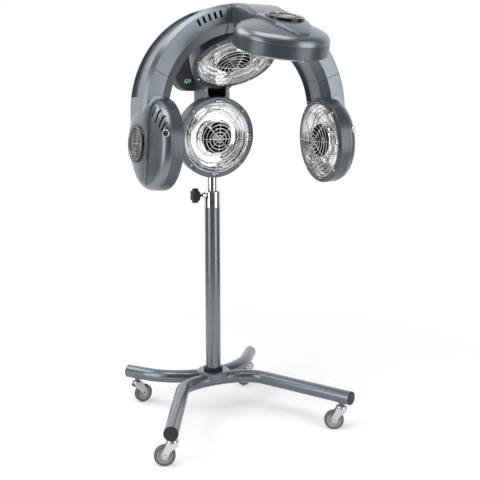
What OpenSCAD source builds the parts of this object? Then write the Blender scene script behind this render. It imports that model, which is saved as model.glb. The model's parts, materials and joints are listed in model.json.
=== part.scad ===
// Hair color processor on a caster stand: five infrared heads with fans on
// hinged arms round the client's head. Millimetres, +Z up, front toward -Y,
// origin on the floor under the column's axis.

/* [Base] */
// Outer diameter of the bent leg tubes
leg_tube_d = 43; // [30:0.5:60]
// Wall of the leg tubes
leg_wall = 2; // [1:0.1:4]
// Height of the leg tubes' axis over the floor
leg_axis_z = 108; // [80:1:160]
// How far the front tube's middle passes before the column's axis
front_offset = 20; // [0:1:60]
// Radius of the wide bend in the middle of the front tube
front_wide_r = 310; // [150:1:600]
// Radius of the tight bends of the front tube
front_tight_r = 110; // [80:1:250]
// Straight run of each front leg
front_straight = 322; // [150:1:500]
// How far the rear tube's middle passes behind the column's axis
rear_offset = 33; // [0:1:60]
// Radius of the bend of the rear tube
rear_bend_r = 238; // [150:1:400]
// Straight run of each rear leg
rear_straight = 70; // [30:1:300]
// Direction of the front legs, from the side line
front_turn = 62; // [40:1:80]
// Direction of the rear legs, from the side line
rear_turn = 53; // [30:1:80]
// Diameter of the welded hub plate
hub_d = 108; // [80:1:160]
// Thickness of the hub plate
hub_h = 28; // [15:1:50]
// Distance from a leg's end to its caster stem
stem_inset = 32; // [20:1:60]
// Length of the plug caps in the leg ends
cap_l = 16; // [8:0.5:30]
// Rim that each plug cap shows outside the tube
cap_rim = 4; // [2:0.5:10]

/* [Casters] */
// Wheel diameter
wheel_d = 62; // [40:1:100]
// Wheel width
wheel_w = 20; // [12:0.5:40]
// Distance from the swivel axis to the axle
trail = 22; // [5:0.5:40]
// Axle diameter
axle_d = 8; // [5:0.5:12]
// Caster stem diameter
stem_d = 10; // [8:0.5:16]
// Thickness of the fork's sheet
fork_t = 2.5; // [1.5:0.1:5]

/* [Column] */
// Column diameter
column_d = 50; // [40:1:70]
// Height of the column's top
column_top = 683; // [400:1:900]
// Collar diameter
collar_d = 55; // [50:1:80]
// Height of the collar
collar_h = 53; // [30:1:80]
// Depth of the collar's guide inside the column
guide_h = 44; // [20:1:100]
// Lift tube diameter
lift_d = 32; // [20:1:45]
// Height of the lift tube's lower end
lift_bottom = 170; // [100:1:400]
// Height of the lift tube's upper end
lift_top = 790; // [700:1:900]
// Height of the clamp screw over the column's top
clamp_rise = 39; // [20:1:45]
// Clamp knob diameter
knob_d = 47; // [30:1:60]
// Distance of the knob's middle from the column's axis
knob_x = 60; // [45:1:90]

/* [Heads] */
// Head radius
head_r = 128; // [90:1:160]
// Depth of the front rim
rim_h = 34; // [15:1:60]
// Radius of the housing's rounded edge
edge_r = 26; // [10:1:40]
// Radius of the housing's flat dome
dome_r = 287; // [200:1:500]
// Wall of the moulded housings
wall = 3; // [2:0.1:5]
// Radius of the opening in the front ring
mouth_r = 111; // [80:1:125]
// Radius of the intake boss
boss_r = 52; // [35:1:70]
// Height of the intake face behind the front plane
boss_h = 88; // [78:1:110]
// Radius of the air duct, inside
duct_r = 47; // [30:0.5:65]
// How far the guard bulges before the front plane
guard_rise = 20; // [8:1:40]
// Guard wire thickness
wire_d = 2.4; // [1.5:0.1:4]
// Number of rings in a guard
guard_rings = 10; // [5:1:14]
// Number of fan blades
blades = 7; // [3:1:11]
// Diameter of a lamp tube
lamp_d = 9; // [6:0.5:14]
// Length of a lamp tube
lamp_l = 100; // [60:1:140]
// Distance of a lamp tube from the head's axis
lamp_off = 78; // [60:1:95]

/* [Placing of the heads] */
// Side heads: distance of the front plane from the middle
side_x = 252; // [200:1:320]
// Side heads: how far they sit before the column's axis
side_y = 238; // [150:1:320]
// Side heads: their middle below the crest
side_drop = 388; // [340:1:420]
// Side heads: downward pitch
side_pitch = 3.5; // [0:0.5:20]
// Side heads: turn toward the rear
side_toe = 2.5; // [0:0.5:20]
// Rear head: front plane before the column's axis
rear_y = 40; // [20:1:80]
// Rear head: its middle over the lift tube's upper end
rear_rise = 115; // [112:1:122]
// Rear head: downward pitch
rear_pitch = 8; // [0:0.5:20]
// Crown head: how far it sits before the column's axis
crown_y = 162; // [100:1:220]
// Crown head: its middle below the crest
crown_drop = 158; // [140:1:180]
// Crown head: tilt from facing straight down
crown_tilt = 33; // [0:1:60]
// Front head: how far it sits before the column's axis
front_y = 437; // [350:1:520]
// Front head: its middle below the crest
front_drop = 135; // [110:1:160]
// Front head: tilt from facing straight down
front_tilt = 16; // [0:1:60]

/* [Arms] */
// Outer radius of the side and front arms
arm_r = 300; // [200:1:400]
// Thickness of the arms
arm_t = 79; // [50:1:120]
// Width of the arms
arm_w = 118; // [80:1:160]
// Height of the crown's crest over the tilt pin
crest_rise = 220; // [206:1:260]
// Middle of the side arms before the column's axis
arm_y = 214; // [150:1:280]
// Distance of a side arm's arc centre from the middle
arm_x = 26; // [0:1:60]
// Front arm: its arc centre before the column's axis
front_arc_y = 250; // [200:1:320]
// Rear spine: its arc centre before the column's axis
spine_arc_y = 150; // [100:1:200]
// Rear spine: outer radius
spine_r = 190; // [150:1:240]
// Side seams: distance from the middle
seam_x = 72; // [50:1:100]
// Front seam: distance before the column's axis
seam_y = 280; // [270:1:320]
// Depth of the recessed strips on the arms
strip_h = 8; // [4:0.5:12]
// Depth of the arms' hinge pins below the crest
arm_pin_drop = 26; // [20:1:40]
// Diameter of the arms' hinge pins
arm_pin_d = 10; // [6:0.5:14]

/* [Yoke] */
// Width of the yoke
yoke_w = 86; // [60:1:110]
// Depth of the yoke
yoke_d = 80; // [50:1:100]
// Width of the yoke's slot
yoke_slot = 62; // [40:1:80]
// Height of the tilt pin over the rear head's middle
tilt_rise = 163; // [155:1:180]
// Diameter of the tilt pin
tilt_d = 12; // [8:0.5:20]

/* [Control housing] */
// Width of the control housing
box_w = 210; // [150:1:260]
// Height of the control housing
box_h = 191; // [150:1:220]
// Its upper edge below the crest
box_drop = 46; // [30:1:80]
// Corner radius
box_r = 50; // [20:1:70]
// Front face behind the column's axis
box_y = 44; // [41:1:60]
// Depth
box_d = 46; // [30:1:70]

/* [Hidden] */
$fn = 64;

// One unit of length: every small size below is a multiple of it
unit = head_r / 128;
// Running gap between parts that move against each other
gap = 0.5 * unit;
// Radial clearance of a pin in a moving bore
fit = 0.05 * unit;
// How far a cutting form reaches past what it cuts
cut = 2 * unit;

// Heights, each from the piece that carries the next
clamp_z = column_top + clamp_rise;
rear_z = lift_top + rear_rise;
tilt_z = rear_z + tilt_rise;
crest_z = tilt_z + crest_rise;
arm_pin_z = crest_z - arm_pin_drop;
side_z = crest_z - side_drop;
crown_z = crest_z - crown_drop;
front_z = crest_z - front_drop;
box_top = crest_z - box_drop;
box_bottom = box_top - box_h;

// Leg path: arcs that turn from the side line to the leg's direction
leg_r = leg_tube_d / 2;
wide_turn = 15;
function arc_point(c, r, a) = [c[0] + r * sin(a), c[1] + r * cos(a)];
function wide_end(wide_r, a) = arc_point([0, -wide_r], wide_r, a);
function tight_centre(wide_r, a, tight_r) = wide_end(wide_r, a) - tight_r * [sin(a), cos(a)];
function bend_end(wide_r, a, tight_r, b) = arc_point(tight_centre(wide_r, a, tight_r), tight_r, b);
function along(b) = [cos(b), -sin(b)];
front_bend = bend_end(front_wide_r, wide_turn, front_tight_r, front_turn);
front_end = front_bend + front_straight * along(front_turn) - [0, front_offset];
front_stem = front_end - stem_inset * along(front_turn);
rear_bend = bend_end(rear_bend_r, wide_turn, rear_bend_r, rear_turn);
rear_far = rear_bend + rear_straight * along(rear_turn);
rear_end = [rear_far[0], rear_offset - rear_far[1]];
rear_stem = rear_end - stem_inset * [cos(rear_turn), sin(rear_turn)];
socket_r = 9 * unit;
socket_z = leg_axis_z - leg_r - 1.5 * unit;
hub_bottom = leg_axis_z - 1 * unit;
hub_top = hub_bottom + hub_h;

// Caster heights
axle_z = wheel_d / 2;
fork_top = 72 * unit;
cup_top = 80 * unit;

// Head profile: an edge arc and a flat dome that meet in one tangent
dome_k = sqrt((dome_r - edge_r) * (dome_r - edge_r) - (head_r - edge_r) * (head_r - edge_r));
dome_z = rim_h - dome_k;
edge_turn = atan2(dome_k, head_r - edge_r);
edge_steps = 6;
dome_steps = 4;
function dome_end(t) = acos(boss_r / (dome_r - t));
function dome_pts(t) = concat(
  [for (i = [0 : edge_steps]) let (a = edge_turn * i / edge_steps)
    [head_r - edge_r + (edge_r - t) * cos(a), rim_h + (edge_r - t) * sin(a)]],
  [for (i = [1 : dome_steps]) let (a = edge_turn + (dome_end(t) - edge_turn) * i / dome_steps)
    [(dome_r - t) * cos(a), dome_z + (dome_r - t) * sin(a)]]);
function back_to_front(l) = [for (i = [len(l) - 1 : -1 : 0]) l[i]];

// Guard dome
guard_r = mouth_r - wire_d / 2 - 0.3 * unit;
guard_ball = (guard_r * guard_r + guard_rise * guard_rise) / (2 * guard_rise);
function guard_z(r) = sqrt(guard_ball * guard_ball - r * r) - guard_ball + guard_rise;
wire_steps = 5;
wire_reach = mouth_r + 10 * unit;

// Reflector: stepped bowl, as shares of the mouth's radius and the rim's depth
bowl_r_shares = [1.02, 0.985, 0.962, 0.895, 0.876, 0.775, 0.757, 0.56, 0.459, 0.459];
bowl_z_shares = [0.1, 0.1, 0.41, 0.5, 0.68, 0.735, 0.86, 0.9, 0.82, 0.09];
bowl_back_r_shares = [1.02, 0.996, 0.973, 0.906, 0.887, 0.786, 0.768, 0.56, 0.448, 0.448];
bowl_back_z_shares = [0.14, 0.14, 0.45, 0.54, 0.72, 0.775, 0.9, 0.94, 0.86, 0.09];
sheet = 1.3 * unit;
lamp_z = 0.33 * rim_h;

// Arms
arm_half = arm_w / 2;
arm_c = 10 * unit;
arm_cr = 27 * unit;
arm_cy = 16 * unit;
arm_in = strip_h + wall;
arm_centre_z = crest_z - arm_r;
spine_centre_z = crest_z - spine_r;
groove_w = 3 * unit;
groove_h = 2 * unit;
leg_down = 60 * unit;
seam_gap = 0.8 * unit;
knuckle_r = 9 * unit;
knuckle_w = 56 * unit;
big = 600 * unit;
strip_w = arm_w - 26 * unit;
inner_strip_w = arm_w - 38 * unit;
function section(r, i) = let (ro = r - i, ri = r - arm_t + i, h = arm_half - i)
  [[ri, arm_cy - h], [ri + arm_cr, -h], [ro - arm_c, -h], [ro, arm_c - h],
   [ro, h - arm_c], [ro - arm_c, h], [ri + arm_cr, h], [ri, h - arm_cy]];
function hollow(r, deep, side) = let (ro = r - deep, ri = r - arm_t + deep, h = arm_half - side,
    q = arm_half - arm_cy + deep * arm_cy / arm_cr - 1.2 * side)
  [[ri, -q], [r - arm_t + arm_cr + 0.4 * side, -h], [ro, -h], [ro, h],
   [r - arm_t + arm_cr + 0.4 * side, h], [ri, q]];
function cavity(r) = hollow(r, arm_in, wall);
function swap(l) = [for (p = [len(l) - 1 : -1 : 0]) [l[p][1], l[p][0]]];

// Raised fin of an arm on a head, as shares of the head's radius: up, side
fin_shares = [[1.2, -0.49], [0.74, -0.415], [0.31, -0.46], [0, -0.47], [-0.35, -0.4], [-0.7, -0.22],
  [-0.98, 0], [-0.7, 0.22], [-0.35, 0.4], [0, 0.47], [0.31, 0.47], [0.74, 0.46], [1.2, 0.46]];
fin_h = 9 * unit;
fin_up = 9 * unit;

// Yoke and tilt
yoke_r = yoke_d / 2;
yoke_wall_w = (yoke_w - yoke_slot) / 2;
knuckle_tilt_r = 25 * unit;
knuckle_tilt_w = yoke_slot - 4 * unit;

// Places of the heads
module at_left() { translate([-side_x, -side_y, side_z]) rotate([0, side_pitch - 90, side_toe]) children(); }
module at_right() { mirror([1, 0, 0]) at_left() children(); }
module at_rear() { translate([0, -rear_y, rear_z]) rotate([rear_pitch - 90, 0, 0]) children(); }
module at_crown() { translate([0, -crown_y, crown_z]) rotate([-crown_tilt, 0, 0]) children(); }
module at_front() { translate([0, -front_y, front_z]) rotate([front_tilt, 0, 0]) children(); }

// Base

module bend(c, r, a, b, tube) {
  translate([c[0], c[1], 0]) rotate([0, 0, 90 - b]) rotate_extrude(angle = b - a)
    translate([r, 0]) circle(r = tube);
}

// One tube bent to a V, its middle at the origin, its ends toward -Y. The
// bends are drawn a hair slimmer and reach into the runs on both sides.
module v_tube(wide_r, tight_r, turn, straight, tube, more) {
  c = tight_centre(wide_r, wide_turn, tight_r);
  p = bend_end(wide_r, wide_turn, tight_r, turn);
  slim = 0.1 * unit;
  reach = 0.5;
  bend([0, -wide_r], wide_r, -wide_turn, wide_turn, tube);
  for (s = [0, 1]) mirror([s, 0, 0]) {
    bend(c, tight_r, wide_turn - reach, turn + reach, tube - slim);
    translate([p[0], p[1], 0]) rotate([0, 90, -turn]) cylinder(r = tube, h = straight + more);
  }
}

module front_v(tube, more) {
  translate([0, -front_offset, leg_axis_z])
    v_tube(front_wide_r, front_tight_r, front_turn, front_straight, tube, more);
}

module rear_v(tube, more) {
  translate([0, rear_offset, leg_axis_z]) mirror([0, 1, 0])
    v_tube(rear_bend_r, rear_bend_r, rear_turn, rear_straight, tube, more);
}

module at_stems() {
  for (s = [-1, 1]) {
    translate([s * front_stem[0], front_stem[1], 0]) children();
    translate([s * rear_stem[0], rear_stem[1], 0]) children();
  }
}

module legs() {
  color([0.36, 0.38, 0.4]) difference() {
    union() {
      difference() {
        union() {
          front_v(leg_r, 0);
          rear_v(leg_r, 0);
        }
        front_v(leg_r - leg_wall, cut);
        rear_v(leg_r - leg_wall, cut);
      }
      at_stems() translate([0, 0, socket_z]) cylinder(r = socket_r, h = leg_axis_z - socket_z);
    }
    at_stems() cylinder(d = stem_d + 2 * fit, h = leg_axis_z - 1 * unit);
  }
}

module leg_cap() {
  rotate_extrude() polygon([[0, -cap_l], [leg_r - leg_wall, -cap_l], [leg_r - leg_wall, 0], [leg_r, 0],
    [leg_r, cap_rim - 1.5 * unit], [leg_r - 1.5 * unit, cap_rim], [0, cap_rim]]);
}

module leg_caps() {
  color([0.05, 0.05, 0.05]) for (s = [0, 1]) mirror([s, 0, 0]) {
    translate([front_end[0], front_end[1], leg_axis_z]) rotate([0, 90, -front_turn]) leg_cap();
    translate([rear_end[0], rear_end[1], leg_axis_z]) rotate([0, 90, rear_turn]) leg_cap();
  }
}

module base_hub() {
  color([0.42, 0.44, 0.46]) difference() {
    translate([0, 0, hub_bottom]) rotate_extrude() polygon([[0, 0], [hub_d / 2, 0],
      [hub_d / 2, hub_h - 3 * unit], [hub_d / 2 - 3 * unit, hub_h - 3 * unit],
      [hub_d / 2 - 5 * unit, hub_h], [0, hub_h]]);
    front_v(leg_r, 0);
    rear_v(leg_r, 0);
  }
}

module column() {
  color([0.36, 0.38, 0.4]) translate([0, 0, hub_top]) difference() {
    cylinder(d = column_d, h = column_top - hub_top);
    translate([0, 0, -cut]) cylinder(d = column_d - 2 * leg_wall, h = column_top - hub_top + 2 * cut);
  }
}

module foot_ring() {
  color([0.08, 0.08, 0.08]) translate([0, 0, hub_top]) rotate_extrude()
    polygon([[column_d / 2, 0], [column_d / 2 + 7 * unit, 0], [column_d / 2 + 7 * unit, 8 * unit],
      [column_d / 2 + 4 * unit, 11 * unit], [column_d / 2, 11 * unit]]);
}

module collar() {
  guide_r = column_d / 2 - leg_wall;
  color([0.8, 0.8, 0.82]) difference() {
    union() {
      translate([0, 0, column_top]) rotate_extrude() polygon([[0, -guide_h], [guide_r, -guide_h],
        [guide_r, 0], [collar_d / 2, 0], [collar_d / 2, collar_h - 4 * unit],
        [collar_d / 2 - 4 * unit, collar_h], [0, collar_h]]);
      translate([0, 0, clamp_z]) rotate([0, -90, 0]) cylinder(r = 10 * unit, h = collar_d / 2 + 9 * unit);
    }
    translate([0, 0, column_top - guide_h - cut]) cylinder(d = lift_d + 2 * fit,
      h = collar_h + guide_h + 2 * cut);
    translate([0, 0, clamp_z]) rotate([0, -90, 0]) cylinder(r = 4 * unit + fit, h = collar_d);
    translate([0, 0, clamp_z - 20 * unit]) rotate([90, 0, -24]) cylinder(r = 3 * unit, h = collar_d);
  }
}

module lift_tube() {
  color([0.8, 0.8, 0.82]) translate([0, 0, lift_bottom]) difference() {
    cylinder(d = lift_d, h = lift_top - lift_bottom);
    translate([0, 0, -cut]) cylinder(d = lift_d - 2 * leg_wall, h = lift_top - lift_bottom - cut);
  }
}

// Lobed knob on a screw that bears on the lift tube
module clamp_knob() {
  knob_h = 16 * unit;
  lobes = 6;
  color([0.05, 0.05, 0.05]) translate([0, 0, clamp_z]) rotate([0, -90, 0]) {
    translate([0, 0, knob_x - knob_h / 2]) linear_extrude(knob_h) union() {
      circle(d = knob_d - 9 * unit);
      for (i = [0 : lobes - 1]) rotate([0, 0, 360 * i / lobes])
        translate([knob_d / 2 - 7 * unit, 0]) circle(r = 7 * unit);
    }
    translate([0, 0, knob_x + knob_h / 2]) cylinder(r1 = 15 * unit, r2 = 12 * unit, h = 3 * unit);
    translate([0, 0, knob_x - knob_h / 2 - 8 * unit]) cylinder(r = 9 * unit, h = 8 * unit);
    translate([0, 0, lift_d / 2 + gap]) cylinder(r = 4 * unit,
      h = knob_x - lift_d / 2 - gap - knob_h / 2);
  }
}

// Casters: swivel axis at the origin's Z, axle toward +X

module fork() {
  side_y = wheel_w / 2 + 1.5 * unit;
  color([0.75, 0.76, 0.78]) union() {
    translate([0, 0, fork_top - 4 * unit]) cylinder(r = 17 * unit, h = 4 * unit);
    translate([0, 0, fork_top]) cylinder(r1 = 16 * unit, r2 = 11 * unit, h = cup_top - fork_top);
    translate([0, 0, cup_top]) cylinder(r = 7.5 * unit, h = socket_z - gap - cup_top);
    translate([0, 0, cup_top]) cylinder(d = stem_d, h = leg_axis_z - cup_top - 3 * unit);
    for (s = [-1, 1]) translate([0, s * (side_y + fork_t / 2), 0]) rotate([90, 0, 0])
      translate([0, 0, -fork_t / 2]) {
        linear_extrude(fork_t) polygon([[-15 * unit, fork_top], [-15 * unit, fork_top - 9 * unit],
          [trail - 9 * unit, axle_z], [trail + 9 * unit, axle_z], [17 * unit, fork_top - 9 * unit],
          [15 * unit, fork_top]]);
        translate([trail, axle_z, 0]) cylinder(r = 9 * unit, h = fork_t);
      }
    for (s = [-1, 1]) translate([trail, s * (side_y + fork_t), axle_z]) rotate([-90 * s, 0, 0])
      cylinder(r = 6 * unit, h = 3 * unit);
    translate([trail, side_y + fork_t, axle_z]) rotate([90, 0, 0])
      cylinder(d = axle_d, h = 2 * (side_y + fork_t));
  }
}

module wheel() {
  w = wheel_w / 2;
  r = wheel_d / 2;
  b = axle_d / 2 + fit;
  color([0.5, 0.5, 0.52]) translate([trail, 0, axle_z]) rotate([90, 0, 0]) rotate_extrude()
    polygon([[b, -w - 0.8 * unit], [b + 4 * unit, -w - 0.8 * unit], [b + 4 * unit, -w + 3 * unit],
      [r - 10 * unit, -w + 3 * unit], [r - 8 * unit, -w], [r - 3 * unit, -w], [r, 3 * unit - w],
      [r, w - 3 * unit], [r - 3 * unit, w], [r - 8 * unit, w], [r - 10 * unit, w - 3 * unit],
      [b + 4 * unit, w - 3 * unit], [b + 4 * unit, w + 0.8 * unit], [b, w + 0.8 * unit]]);
}

module at_fl() { translate([-front_stem[0], front_stem[1], 0]) rotate([0, 0, 158]) children(); }
module at_fr() { translate([front_stem[0], front_stem[1], 0]) rotate([0, 0, 150]) children(); }
module at_rl() { translate([-rear_stem[0], rear_stem[1], 0]) rotate([0, 0, 10]) children(); }
module at_rr() { translate([rear_stem[0], rear_stem[1], 0]) rotate([0, 0, 200]) children(); }
module caster_fork_fl() { at_fl() fork(); }
module caster_fork_fr() { at_fr() fork(); }
module caster_fork_rl() { at_rl() fork(); }
module caster_fork_rr() { at_rr() fork(); }
module caster_wheel_fl() { at_fl() wheel(); }
module caster_wheel_fr() { at_fr() wheel(); }
module caster_wheel_rl() { at_rl() wheel(); }
module caster_wheel_rr() { at_rr() wheel(); }

// Head: front plane at z 0, its back toward +Z, the arm toward +X

// Full outer form, for cutting what stands against a head
module head_form() {
  rotate_extrude() polygon(concat([[0, 0], [head_r, 0]], dome_pts(0), [[boss_r, boss_h], [0, boss_h]]));
}

// Free space before a head's front ring
module head_front() {
  translate([0, 0, -60 * unit]) cylinder(r = head_r + 2 * gap, h = 60 * unit);
}

// The same with running room round it
module head_room() {
  room = 2 * gap;
  rotate_extrude() polygon(concat([[0, -room], [head_r + room, -room]], dome_pts(-room),
    [[boss_r + room, boss_h + room], [0, boss_h + room]]));
}

module dome_shell() {
  rotate_extrude() polygon(concat(dome_pts(0), back_to_front(dome_pts(wall))));
}

// Cooling slots of falling length and, where asked, a round hole below them
slot_w = 6.5 * unit;
slot_l_shares = [0.23, 0.28, 0.25, 0.21];
slot_up_shares = [0.683, 0.587, 0.489, 0.377];
slot_side_shares = [0.424, 0.59, 0.738, 0.823];
slot_turn = 6;
button_r = 7 * unit;
button_up = 33 * unit;
button_side = 117 * unit;
module dome_slots(side) {
  for (i = [0 : 3]) translate([slot_up_shares[i] * head_r, side * slot_side_shares[i] * head_r, rim_h])
    rotate([0, 0, side * slot_turn]) translate([-slot_l_shares[i] * head_r / 2, -slot_w / 2, 0])
      cube([slot_l_shares[i] * head_r, slot_w, boss_h]);
}

module shell(side) {
  color([0.4, 0.42, 0.44]) difference() {
    dome_shell();
    dome_slots(side);
  }
}

module rim() {
  seam = 0.8 * unit;
  screw_at = (head_r + mouth_r) / 2;
  color([0.4, 0.42, 0.44]) {
    difference() {
      rotate_extrude() polygon([[mouth_r, 0], [head_r - 3 * unit, 0], [head_r - 0.9 * unit, 0.9 * unit],
        [head_r, 3 * unit], [head_r, rim_h - seam], [head_r - seam, rim_h], [head_r - wall, rim_h],
        [head_r - wall, wall], [mouth_r, wall]]);
      for (a = [0 : 90 : 270]) rotate([0, 0, a]) translate([screw_at - 1.5 * unit, -8 * unit, -cut])
        cube([3 * unit, 16 * unit, wall + 2 * cut]);
    }
    for (a = [45 : 90 : 315]) rotate([0, 0, a]) translate([screw_at, 0, 0]) mirror([0, 0, 1])
      rotate_extrude() polygon([[0, 0], [3.6 * unit, 0], [3.6 * unit, 1 * unit], [2.6 * unit, 2.1 * unit],
        [0, 2.5 * unit]]);
  }
}

module lamp() {
  end = 10 * unit;
  rotate([90, 0, 0]) translate([lamp_off, lamp_z, -lamp_l / 2]) {
    cylinder(d = lamp_d, h = lamp_l);
    for (z = [0, lamp_l - end]) translate([0, 0, z]) {
      cylinder(d = lamp_d + 3 * unit, h = end);
      translate([-2 * unit, 0, end / 2 - 2 * unit]) cube([4 * unit, 0.46 * rim_h, 4 * unit]);
    }
  }
}

module reflector() {
  n = len(bowl_r_shares);
  color([0.9, 0.9, 0.92]) difference() {
    union() {
      rotate_extrude() polygon(concat(
        [for (i = [0 : n - 1]) [bowl_r_shares[i] * mouth_r, bowl_z_shares[i] * rim_h]],
        [for (i = [n - 1 : -1 : 0]) [bowl_back_r_shares[i] * mouth_r, bowl_back_z_shares[i] * rim_h]]));
      for (a = [0, 180]) rotate([0, 0, 45 + a]) lamp();
    }
  }
}

module guard() {
  color([0.8, 0.8, 0.82]) mirror([0, 0, 1]) union() {
    for (i = [1 : guard_rings]) {
      r = guard_r * i / guard_rings;
      translate([0, 0, guard_z(r) - wire_d / 2]) difference() {
        cylinder(r = r + wire_d / 2, h = wire_d);
        translate([0, 0, -cut]) cylinder(r = r - wire_d / 2, h = wire_d + 2 * cut);
      }
    }
    for (a = [0 : 45 : 135]) rotate([90, 0, a]) translate([0, 0, -0.4 * wire_d])
      linear_extrude(0.8 * wire_d) polygon(concat(
        [for (i = [-wire_steps : wire_steps]) let (r = guard_r * i / wire_steps)
          [r, guard_z(abs(r)) + wire_d / 2]],
        [for (i = [wire_steps : -1 : -wire_steps]) let (r = guard_r * i / wire_steps)
          [r, guard_z(abs(r)) - wire_d / 2]]));
    for (a = [0 : 90 : 270]) rotate([0, 0, a]) translate([guard_r - 2 * unit, -0.4 * wire_d, 0])
      cube([wire_reach - guard_r + 2 * unit, 0.8 * wire_d, wire_d]);
  }
}

// Air duct with the intake grille, the motor on its spider and the shaft
motor_r = 19 * unit;
motor_z = 50 * unit;
shaft_r = 3 * unit;
fan_z = 14 * unit;
module duct() {
  grille_z = boss_h - 5 * unit;
  grille_t = 3 * unit;
  ring_r_shares = [0.9, 0.74, 0.58, 0.42, 0.27];
  color([0.1, 0.1, 0.1]) union() {
    rotate_extrude() polygon([[duct_r, 1.5 * unit], [duct_r + 2.2 * unit, 1.5 * unit],
      [duct_r + 2.2 * unit, 72 * unit], [boss_r - 0.3 * unit, 72 * unit],
      [boss_r - 0.3 * unit, boss_h - 2 * unit], [boss_r - 2.3 * unit, boss_h], [duct_r, boss_h]]);
    for (k = ring_r_shares) translate([0, 0, grille_z]) difference() {
      cylinder(r = k * duct_r + 1.6 * unit, h = grille_t);
      translate([0, 0, -cut]) cylinder(r = k * duct_r - 1.6 * unit, h = grille_t + 2 * cut);
    }
    translate([0, 0, grille_z]) cylinder(r = 6 * unit, h = grille_t);
    for (a = [0, 90]) rotate([0, 0, a]) translate([-duct_r - 1 * unit, -1.6 * unit, grille_z])
      cube([2 * duct_r + 2 * unit, 3.2 * unit, grille_t]);
    translate([0, 0, motor_z]) cylinder(r = motor_r, h = 20 * unit);
    for (a = [45, 135]) rotate([0, 0, a]) translate([-duct_r - 1 * unit, -3 * unit, motor_z + 14 * unit])
      cube([2 * duct_r + 2 * unit, 6 * unit, 5 * unit]);
    translate([0, 0, fan_z + 4 * unit]) cylinder(r = shaft_r, h = motor_z - fan_z);
  }
}

module fan() {
  hub_r = 20 * unit;
  blade_d = 20 * unit;
  color([0.06, 0.06, 0.07]) difference() {
    union() {
      translate([0, 0, fan_z]) difference() {
        cylinder(r = hub_r, h = 26 * unit);
        translate([0, 0, 3 * unit]) cylinder(r = hub_r - 2 * unit, h = 30 * unit);
      }
      translate([0, 0, fan_z]) cylinder(r = 7 * unit, h = 24 * unit);
      intersection() {
        for (i = [0 : blades - 1]) rotate([0, 0, 360 * i / blades])
          translate([hub_r - 1 * unit, 0, fan_z + blade_d / 2 + 2 * unit]) rotate([38, 0, 0])
            translate([0, -blade_d * 0.75, -1 * unit]) cube([duct_r, blade_d * 1.5, 2 * unit]);
        difference() {
          translate([0, 0, fan_z]) cylinder(r = duct_r - 1.5 * unit, h = 26 * unit);
          translate([0, 0, fan_z - cut]) cylinder(r = hub_r - 1 * unit, h = 32 * unit);
        }
      }
    }
    translate([0, 0, fan_z + 3 * unit]) cylinder(r = shaft_r + fit, h = 30 * unit);
  }
}

// Push button on a head, seated on the dome's surface
button_tilt = 49;
module button_frame() {
  translate([button_up, button_side, rim_h + 17 * unit]) rotate([-button_tilt, 0, 0]) children();
}

// Rear head on the lift tube

cup_wall = 1.5 * unit;
module tube_way() {
  translate([0, 0, rear_z - head_r - 3 * cut]) cylinder(d = lift_d + 2 * cup_wall + 2 * gap, h = 60 * unit);
}

module rear_shell() {
  difference() {
    at_rear() shell(1);
    color([0.4, 0.42, 0.44]) tube_way();
  }
}

module rear_rim() {
  difference() {
    at_rear() rim();
    color([0.4, 0.42, 0.44]) tube_way();
  }
}

module rear_reflector() { at_rear() reflector(); }
module rear_guard() { at_rear() guard(); }
module rear_duct() { at_rear() duct(); }
module rear_fan() { at_rear() fan(); }

// Yoke on top of the rear head, its chassis ring behind the reflector and the
// cup that takes the lift tube
module rear_yoke() {
  cup_z = rear_z - head_r + 10 * unit;
  plate_z = rim_h + 2.5 * unit;
  plate_t = 3 * unit;
  yoke_z = tilt_z - 60 * unit;
  color([0.42, 0.44, 0.46]) union() {
    difference() {
      union() {
        translate([-yoke_w / 2, -yoke_r, yoke_z]) cube([yoke_w, yoke_d, tilt_z - yoke_z]);
        translate([-yoke_w / 2, 0, tilt_z]) rotate([0, 90, 0]) cylinder(r = yoke_r, h = yoke_w);
      }
      translate([-yoke_slot / 2, -yoke_d, tilt_z - 26 * unit]) cube([yoke_slot, 2 * yoke_d, yoke_d]);
      translate([-yoke_slot / 2 + 12 * unit, -yoke_d, tilt_z - 38 * unit])
        cube([yoke_slot - 24 * unit, 2 * yoke_d, 20 * unit]);
      for (s = [-1, 1]) translate([s * (yoke_slot / 2 - 12 * unit), 0, tilt_z - 26 * unit])
        rotate([90, 0, 0]) cylinder(r = 12 * unit, h = 2 * yoke_d, center = true);
      translate([-yoke_w, 0, tilt_z]) rotate([0, 90, 0]) cylinder(d = tilt_d + 2 * fit, h = 2 * yoke_w);
      at_rear() head_form();
    }
    difference() {
      union() {
        at_rear() translate([0, 0, plate_z]) linear_extrude(plate_t) difference() {
          union() {
            circle(r = 108 * unit);
            translate([-20 * unit, -(head_r - 9 * unit)]) square([40 * unit, 2 * (head_r - 9 * unit)]);
          }
          circle(r = boss_r + 3 * unit);
        }
        translate([0, 0, cup_z]) cylinder(d = lift_d + 2 * cup_wall, h = lift_top + 6 * unit - cup_z);
      }
      translate([0, 0, cup_z - 10 * unit]) cylinder(d = lift_d + 2 * fit,
        h = lift_top + 0.2 * unit - cup_z + 10 * unit);
    }
  }
}

// Crown: hub, spine, knuckle, crown head, controls

module side_frame() { translate([-arm_x, -arm_y, arm_centre_z]) rotate([90, 0, 0]) children(); }
module front_frame() { translate([0, -front_arc_y, arm_centre_z]) rotate([90, 0, 90]) children(); }
module spine_frame() { translate([0, -spine_arc_y, spine_centre_z]) rotate([90, 0, 90]) children(); }

module sweep(pts, a, b) { rotate([0, 0, a]) rotate_extrude(angle = b - a) polygon(pts); }

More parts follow.
